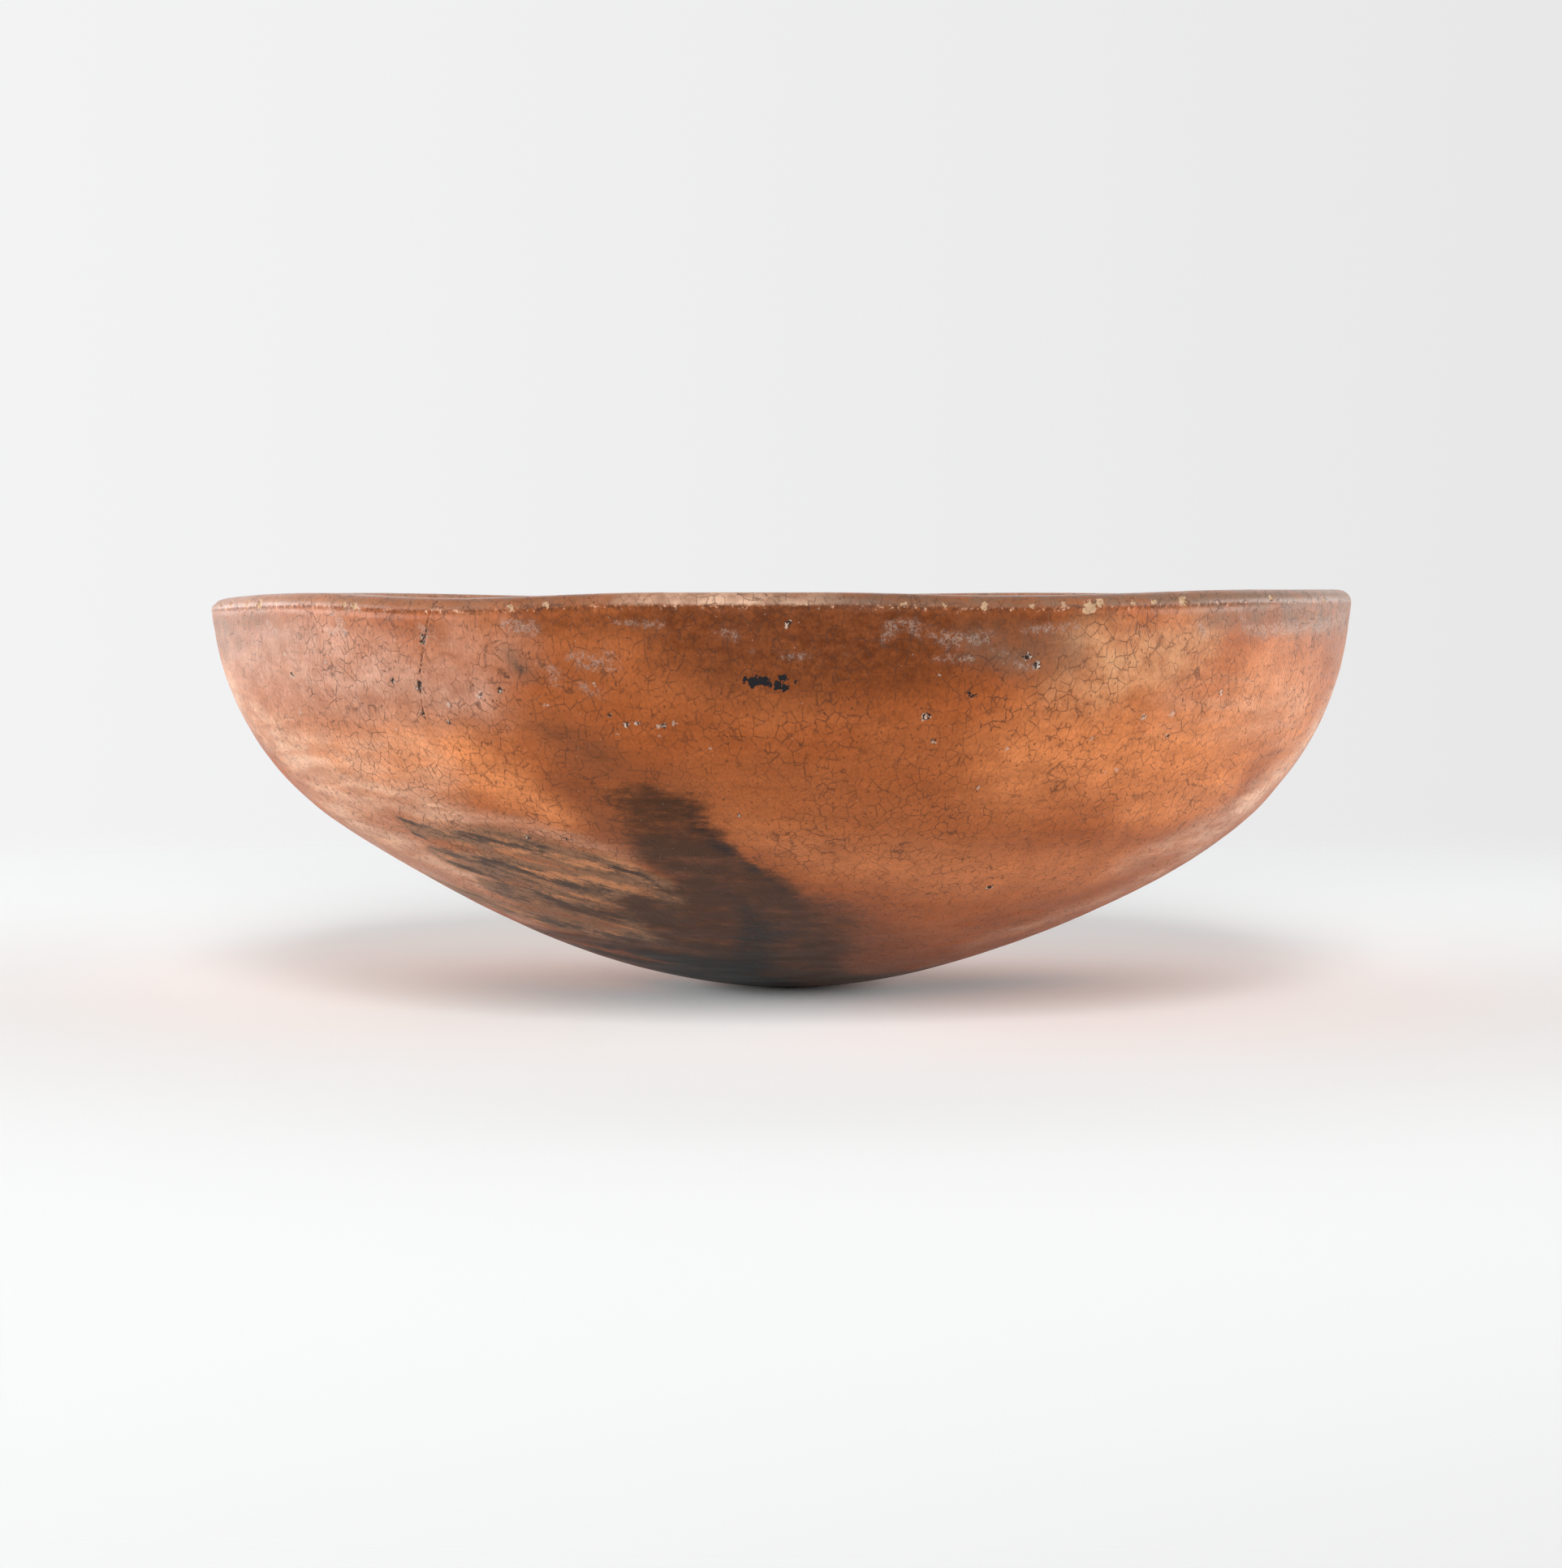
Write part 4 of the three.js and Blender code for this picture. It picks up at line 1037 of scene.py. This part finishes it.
def haze_and_wing(sheet, tone, skin, mottle, speckle, slanted):
    """The reddish haze and the wing of slanting smoke strands beside the fire cloud."""
    haze = sheet.times(sheet.layer("haze"), sheet.ramp(mottle, 0.25, 0.7, 0.6, 1.0))
    skin = sheet.blend(haze, skin, tone["haze"])
    strands = sheet.noise(17, vector=slanted, stretch=(1, 1, 9), detail=6, roughness=0.76)
    strands = sheet.maths("MULTIPLY_ADD", speckle, 0.2, strands)
    veil = sheet.maths("MULTIPLY_ADD", sheet.layer("veil"), 0.95, strands)
    veil = sheet.ramp(veil, 0.78, 1.25, 0.0, 0.92)
    skin = sheet.blend(veil, skin, tone["veil"])
    gaps = sheet.maths("MULTIPLY_ADD", sheet.layer("streak"), -0.2, strands)
    gaps = sheet.times(sheet.ramp(gaps, 0.56, 0.44, 0.0, 0.85), sheet.ramp(sheet.layer("veil"), 0.1, 0.7))
    skin = sheet.blend(gaps, skin, tone["streak"])
    darkest = sheet.maths("MULTIPLY_ADD", strands, 1.5, -0.3)
    darkest = sheet.maths("MULTIPLY_ADD", sheet.layer("veil"), 0.33, darkest)
    darkest = sheet.maths("MULTIPLY_ADD", sheet.layer("wing"), 0.23, darkest)
    wing = sheet.ramp(darkest, 0.86, 1.12, 0.0, 0.92)
    skin = sheet.blend(wing, skin, tone["soot"])
    return skin


def fire_cloud(sheet, tone, skin, speckle):
    """The brown body of the smoke and its blue-black heart."""
    feather = sheet.noise(11, stretch=(1, 1, 6), detail=5, roughness=0.68)
    ragged_edge = sheet.maths("MULTIPLY_ADD", speckle, 0.35, feather)
    smoke = sheet.maths("MULTIPLY_ADD", sheet.layer("smoke"), 0.95, ragged_edge)
    smoke = sheet.ramp(smoke, 0.76, 1.5, 0.0, 0.96)
    browned = sheet.noise(13, stretch=(1, 1, 3.5), detail=5, roughness=0.62)
    smoke_tone = sheet.blend(sheet.ramp(browned, 0.45, 0.75, 0.0, 0.75), tone["smoke"], tone["haze"])
    skin = sheet.blend(smoke, skin, smoke_tone)
    char = sheet.ramp(sheet.maths("ADD", sheet.layer("char"), ragged_edge), 0.9, 1.6, 0.0, 0.96)
    skin = sheet.blend(char, skin, tone["char"])
    return skin


def wear_and_dirt(sheet, tone, skin):
    """The handled lip, the worn foot, the grime, the crumbs in the crease, and a painted shadow along the
    crease.
    """
    rubs = sheet.ramp(sheet.noise(7, stretch=(1, 1, 3), detail=5, roughness=0.65), 0.3, 0.68, 0.35, 1.0)
    skin = sheet.blend(sheet.times(sheet.layer("lip"), rubs), skin, tone["grime"])
    wear = sheet.times(sheet.layer("wear"), sheet.ramp(sheet.noise(6, detail=4), 0.32, 0.6, 0.35, 1.0))
    skin = sheet.blend(wear, skin, tone["worn_clay"])
    foot = sheet.times(sheet.layer("foot"), sheet.ramp(sheet.noise(5, detail=4), 0.35, 0.6, 0.2, 0.9))
    skin = sheet.blend(foot, skin, tone["worn_clay"])
    grime = sheet.times(sheet.layer("grime"), sheet.ramp(sheet.noise(7, detail=5), 0.3, 0.7, 0.5, 1.0))
    skin = sheet.blend(grime, skin, tone["grime"])
    crumbs = sheet.noise(1.7, detail=4, roughness=0.7)
    # Dark crumbs, and a painted shadow along the crease.
    crease_shade_and_crumbs = sheet.times(sheet.layer("crease"), sheet.ramp(crumbs, 0.5, 0.6, 0.1, 0.8))
    skin = sheet.blend(crease_shade_and_crumbs, skin, tone["crack"])
    pale_crumbs = sheet.times(sheet.layer("crease"), sheet.ramp(crumbs, 0.44, 0.36, 0.0, 0.75))
    skin = sheet.blend(pale_crumbs, skin, tone["worn_clay"])
    return skin, wear


def crazing_lines(sheet):
    """The net of fine cracks in the slip, from 0 to 1."""
    net = sheet.crazing(3.1, 0.17, 0.35, 0, (1, 1, 0.8))
    broken_up = sheet.ramp(sheet.noise(3.5), 0.38, 0.54)
    patchy = sheet.ramp(sheet.noise(30), 0.3, 0.6, 0.4, 1.0)
    net = sheet.times(net, broken_up, patchy)
    rifts = sheet.crazing(6, 0.22, 0.6, 40, (1, 1, 0.65))
    rifts = sheet.times(rifts, sheet.ramp(sheet.noise(6, detail=3), 0.56, 0.66, 0.0, 0.95))
    lines = sheet.maths("MAXIMUM", net, rifts)
    return lines


def pores_and_specks(sheet, tone, skin):
    """Open pores and pale specks, strewn all over."""
    pores = sheet.dots(1.8, 0.36, (1, 1, 0.55))
    pores = sheet.times(pores, sheet.ramp(sheet.noise(9), 0.36, 0.6, 0.4, 1.0))
    skin = sheet.blend(sheet.times(pores, 0.68), skin, tone["crack"])
    specks = sheet.times(sheet.dots(4.2, 0.24, (1.07, 1.07, 1.0)), 0.45)
    skin = sheet.blend(specks, skin, tone["crust"])
    return skin, pores


def mineral_crust(sheet, tone, skin):
    """The white crust: a film, a lace on it and solid scales."""
    swirl = sheet.noise(3.0, detail=4, roughness=0.75)
    swirl = sheet.maths("ABSOLUTE", sheet.maths("SUBTRACT", swirl, 0.5))
    lace = sheet.ramp(swirl, 0.01, 0.045, 1.0, 0.0)
    scales = sheet.noise(2.2, detail=5, roughness=0.78, stretch=(1, 1, 1.3))
    crusted = sheet.maths("MULTIPLY_ADD", sheet.layer("crust"), 0.6, scales)
    laced = sheet.times(lace, sheet.ramp(crusted, 0.64, 0.92, 0.0, 0.33))
    crust = sheet.maths("MAXIMUM", laced, sheet.ramp(crusted, 1.04, 1.3, 0.0, 0.22))
    film = sheet.times(sheet.layer("crust"), sheet.ramp(scales, 0.35, 0.65, 0.0, 0.12))
    skin = sheet.blend(film, skin, tone["crust"])
    skin = sheet.blend(crust, skin, tone["crust"])
    return skin, crust, scales


def placed_marks(sheet, tone, skin, slanted):
    """The pits, grits, chips, crack, scratches and flakes that have a place of their own."""
    ragged = sheet.ramp(sheet.noise(0.9, detail=3), 0.25, 0.75, -0.7, 0.7)
    in_pit = sheet.ramp(sheet.maths("ADD", sheet.layer("pit"), ragged), 0.3, 0.0)
    # Pits are part pale chalk and part near-black: the black is a painted shadow in the hollow.
    chalky = sheet.ramp(sheet.noise(0.9, vector=slanted, stretch=(1, 1, 0.7), detail=2), 0.5, 0.6)
    pit_chalk_and_shadow = sheet.blend(chalky, tone["char"], tone["chalk"])
    skin = sheet.blend(sheet.times(in_pit, 0.85), skin, pit_chalk_and_shadow)
    grit = sheet.ramp(sheet.maths("ADD", sheet.layer("grit"), ragged), -0.1, -0.4, 0.0, 0.55)
    skin = sheet.blend(grit, skin, tone["crust"])
    chip = sheet.ramp(sheet.maths("ADD", sheet.layer("chip"), ragged), 0.1, -0.25, 0.0, 0.9)
    skin = sheet.blend(chip, skin, tone["chipped_clay"])
    broken = sheet.ramp(sheet.noise(3.5), 0.42, 0.56, 0.1, 0.95)
    crack = sheet.ramp(sheet.maths("ADD", sheet.layer("crack"), sheet.times(ragged, 0.5)), 0.08, -0.1)
    scratch = sheet.ramp(sheet.maths("ADD", sheet.layer("scratch"), sheet.times(ragged, 0.3)), 0.1, -0.05)
    cuts = sheet.times(sheet.maths("MAXIMUM", crack, sheet.times(scratch, 0.7)), broken)
    skin = sheet.blend(cuts, skin, tone["crack"])
    flake = sheet.ramp(sheet.maths("ADD", sheet.layer("flake"), sheet.times(ragged, 0.9)), 0.03, -0.06)
    skin = sheet.blend(flake, skin, tone["flake"])
    return skin, grit, chip, cuts, flake


def clay_material(name, finish):
    """Burnished slip with all that fire, use and age have done to it."""
    material = bpy.data.materials.new(name)
    sheet = Sheet(material)
    tone = {key: tuple(getattr(finish, key)) for key in BowlFinish.__annotations__}

    mottle = sheet.noise(8, stretch=(1, 1, 1.4))
    burnish = sheet.noise(18, stretch=(1, 1, 8), detail=3, roughness=0.5)
    fine = sheet.noise(0.7, stretch=(1, 1, 0.6), detail=2, roughness=0.6)
    speckle = sheet.noise(1.6, stretch=(1, 1, 1.6), detail=3, roughness=0.6)
    slanted = sheet.tilted(sheet.place, -15)

    skin = slip_colours(sheet, tone, mottle)
    skin = unevenly_rubbed(sheet, skin, mottle, burnish, fine)
    skin = haze_and_wing(sheet, tone, skin, mottle, speckle, slanted)
    skin = fire_cloud(sheet, tone, skin, speckle)
    skin, wear = wear_and_dirt(sheet, tone, skin)
    lines = crazing_lines(sheet)
    skin = sheet.blend(sheet.times(lines, 0.66), skin, tone["crack"])
    skin, pores = pores_and_specks(sheet, tone, skin)
    skin, crust, scales = mineral_crust(sheet, tone, skin)
    skin, grit, chip, cuts, flake = placed_marks(sheet, tone, skin, slanted)

    dull = sheet.maths("MAXIMUM", crust, sheet.maths("MAXIMUM", wear, chip))
    roughness = sheet.ramp(burnish, 0.25, 0.75, 0.36, 0.46)
    roughness = sheet.ramp(dull, 0, 1, roughness, 0.78)

    height = sheet.times(burnish, 0.03)
    depths = (
        (fine, 0.016), (mottle, 0.07), (lines, -0.07), (pores, -0.06), (crust, 0.12),
        (scales, 0.02), (cuts, -0.15), (flake, 0.08), (grit, 0.1),
    )
    for form, depth in depths:
        height = sheet.maths("MULTIPLY_ADD", form, depth, height)
    bump = sheet.node("ShaderNodeBump", {"Height": height, "Strength": 1.0, "Distance": MM})

    sheet.feed(sheet.shader.inputs["Base Color"], skin)
    sheet.feed(sheet.shader.inputs["Roughness"], roughness)
    sheet.feed(sheet.shader.inputs["Normal"], bump.outputs[0])
    sheet.shader.inputs["Specular IOR Level"].default_value = 0.14
    return material


class BOWL_OT_base_pat(bpy.types.Operator):
    """Make the pressed disc of clay that is the bowl's bottom"""

    bl_idname = "bowl.base_pat"
    bl_label = "Base pat"

    def execute(self, context):
        pot = pot_profile(context.scene.bowl_sizes)
        outer = rows_between(0, pot.joints[0], OUTSIDE_ROW)
        inner = rows_between(pot.inner_joints[0], pot.end, INSIDE_ROW)
        piece = make_course(
            "base_pat_finished", "base_pat", pot, outer, inner, STEPS_ON_BASE
        )
        dress(piece, clay_material("smoked_clay", context.scene.bowl_finish))
        return {"FINISHED"}


class BOWL_OT_wall_coils(bpy.types.Operator):
    """Make the flattened coils of the wall"""

    bl_idname = "bowl.wall_coils"
    bl_label = "Wall coils"

    def execute(self, context):
        pot = pot_profile(context.scene.bowl_sizes)
        material = clay_material("burnished_clay", context.scene.bowl_finish)
        for i in range(len(pot.joints) - 1):
            outer = rows_between(pot.joints[i], pot.joints[i + 1], OUTSIDE_ROW)
            inner = rows_between(pot.inner_joints[i + 1], pot.inner_joints[i], INSIDE_ROW)
            node = f"wall_coil_{i + 1}"
            piece = make_course(f"{node}_finished", node, pot, outer, inner)
            dress(piece, material)
        return {"FINISHED"}


class BOWL_OT_rim_coil(bpy.types.Operator):
    """Make the last coil with its rounded, worn lip"""

    bl_idname = "bowl.rim_coil"
    bl_label = "Rim coil"

    def execute(self, context):
        pot = pot_profile(context.scene.bowl_sizes)
        edge_start = pot.crease - EDGE_BELOW
        edge_end = pot.crease + EDGE_ABOVE
        wall = rows_between(pot.joints[-1], edge_start, OUTSIDE_ROW)
        edge = rows_between(edge_start, edge_end, EDGE_ROW)
        lip = rows_between(edge_end, pot.inside_start, LIP_ROW)
        inner = rows_between(pot.inside_start, pot.inner_joints[-1], INSIDE_ROW)
        outer = np.concatenate([wall, edge[1:]])
        rows = np.concatenate([lip[1:], inner[1:]])
        piece = make_course("rim_coil_finished", "rim_coil", pot, outer, rows)
        dress(piece, clay_material("worn_lip_clay", context.scene.bowl_finish))
        return {"FINISHED"}


# The photograph's frame, and where the rim and the eye level lie in it, in pixels.
PHOTO_WIDTH = 1924
PHOTO_HEIGHT = 1932
RIM_HALF_WIDTH_PX = 702
EYE_LEVEL_PX = 742.7
SENSOR_WIDTH = 36
FLOOR_SIZE = 12
FARTHEST_SEEN = 50
# The air turns from its left colour to its right one within this sideways part of a direction, and
# from the paper's light to the room's within this upward part.
AIR_TURNS_WITHIN = 0.2
LIGHT_TURNS_WITHIN = 0.04

# What the lights point at, in metres.
AIM = Vector((0, 0, 0.06))
# Each light's place, its width and height, all in metres, and its power in watts.
LIGHTS = (
    ("left_softbox", (-1.9, 0.1, 0.33), (1.7, 0.6), 43),
    ("right_softbox", (1.9, 0.1, 0.36), (1.7, 0.7), 41),
    ("left_back_softbox", (-1.6, 1.1, 0.35), (1.2, 0.6), 17),
    ("right_back_softbox", (1.6, 1.1, 0.35), (1.2, 0.6), 8),
    ("front_strip", (0, -2.0, 1.3), (0.7, 2.2), 50),
    ("back_softbox", (0, 1.9, 1.2), (3.0, 1.2), 17),
)


def floor_material(studio):
    """White paper that fades, far from the bowl, into the pale air behind it."""
    material = bpy.data.materials.new("studio_paper")
    sheet = Sheet(material)
    sheet.shader.inputs["Base Color"].default_value = (*studio.paper, 1)
    sheet.shader.inputs["Roughness"].default_value = 0.9
    sheet.shader.inputs["Specular IOR Level"].default_value = 0.1
    away = sheet.node("ShaderNodeVectorMath", {0: sheet.place}, operation="LENGTH").outputs["Value"]
    fade = sheet.ramp(away, studio.fade_start / MM, studio.fade_end / MM)
    see_through = sheet.node("ShaderNodeBsdfTransparent").outputs[0]
    sheet.mix_shaders(fade, sheet.shader.outputs[0], see_through, "Material Output")
    return material


def pale_world(studio):
    """Pale for the camera, with painted shade that makes it darker from the left to the right, and dimmer
    as a light on the bowl.
    """
    world = bpy.data.worlds.new("studio_air")
    air = Wiring(world)
    sight = air.node("ShaderNodeTexCoord").outputs["Generated"]
    sight = air.node("ShaderNodeSeparateXYZ", {0: sight}).outputs
    across = air.ramp(sight["X"], -AIR_TURNS_WITHIN, AIR_TURNS_WITHIN, way="LINEAR")
    shade = air.blend(across, tuple(studio.left_backdrop), tuple(studio.right_backdrop))
    pale = air.node("ShaderNodeBackground", {"Color": shade}).outputs[0]
    lights = (studio.paper_light, studio.room_light)
    upward = air.ramp(sight["Z"], -LIGHT_TURNS_WITHIN, LIGHT_TURNS_WITHIN, *lights, way="LINEAR")
    room = air.tree.nodes["Background"]
    room.inputs["Strength"].default_value = 1
    air.feed(room.inputs["Color"], upward)
    ray = air.node("ShaderNodeLightPath").outputs
    seen = ray["Is Camera Ray"]
    for kind in ("Is Glossy Ray", "Is Transmission Ray"):
        seen = air.maths("MAXIMUM", seen, ray[kind])
    air.mix_shaders(seen, room.outputs[0], pale, "World Output")
    return world


class BOWL_OT_stage(bpy.types.Operator):
    """Lay the pale floor, hang the lights and set the camera"""

    bl_idname = "bowl.stage"
    bl_label = "Stage"

    def execute(self, context):
        sizes = context.scene.bowl_sizes
        studio = context.scene.bowl_studio
        scene = context.scene
        scene.view_settings.view_transform = "Standard"

        deselect_all()
        rim = sizes.rim_diameter / 2
        sight = math.sqrt(studio.camera_distance**2 - rim**2)
        focal_px = RIM_HALF_WIDTH_PX * sight / rim
        pitch = math.atan((PHOTO_HEIGHT / 2 - EYE_LEVEL_PX) / focal_px)
        bpy.ops.object.camera_add(
            location=(0, -studio.camera_distance, studio.eye_height),
            rotation=(math.pi / 2 - pitch, 0, 0),
        )
        camera = context.object
        camera.data.sensor_width = SENSOR_WIDTH
        camera.data.lens = SENSOR_WIDTH * focal_px / max(PHOTO_WIDTH, PHOTO_HEIGHT)
        camera.data.clip_end = FARTHEST_SEEN
        scene.camera = camera

        bpy.ops.mesh.primitive_plane_add(size=FLOOR_SIZE, location=(0, 0, 0))
        floor = context.object
        floor.name = "studio_floor"
        dress(floor, floor_material(studio))

        for name, place, size, power in LIGHTS:
            bpy.ops.object.light_add(type="AREA", location=place)
            lamp = context.object
            lamp.name = name
            lamp.data.shape = "RECTANGLE"
            lamp.data.size, lamp.data.size_y = size
            lamp.data.energy = power
            lamp.visible_camera = False
            away = lamp.location - AIM
            lamp.rotation_euler = away.to_track_quat("Z", "Y").to_euler()

        scene.world = pale_world(studio)
        return {"FINISHED"}


class BOWL_PT_panel(bpy.types.Panel):
    """Lists what makes the bowl, in order"""

    bl_idname = "BOWL_PT_panel"
    bl_label = "Earthenware bowl"
    bl_space_type = "VIEW_3D"
    bl_region_type = "UI"
    bl_category = "Bowl"

    def draw(self, context):
        for step in STEPS:
            self.layout.operator(step.bl_idname)


STEPS = (BOWL_OT_base_pat, BOWL_OT_wall_coils, BOWL_OT_rim_coil, BOWL_OT_stage)
SETTINGS = {"bowl_sizes": BowlSizes, "bowl_finish": BowlFinish, "bowl_studio": BowlStudio}


def register():
    for kind in (*SETTINGS.values(), *STEPS, BOWL_PT_panel):
        bpy.utils.register_class(kind)
    for name, kind in SETTINGS.items():
        setattr(bpy.types.Scene, name, bpy.props.PointerProperty(type=kind))


def unregister():
    for name in SETTINGS:
        delattr(bpy.types.Scene, name)
    for kind in (BOWL_PT_panel, *reversed(STEPS), *reversed(SETTINGS.values())):
        bpy.utils.unregister_class(kind)


def main():
    register()
    bpy.ops.bowl.base_pat()
    bpy.ops.bowl.wall_coils()
    bpy.ops.bowl.rim_coil()
    bpy.ops.bowl.stage()


if __name__ == "__main__":
    main()
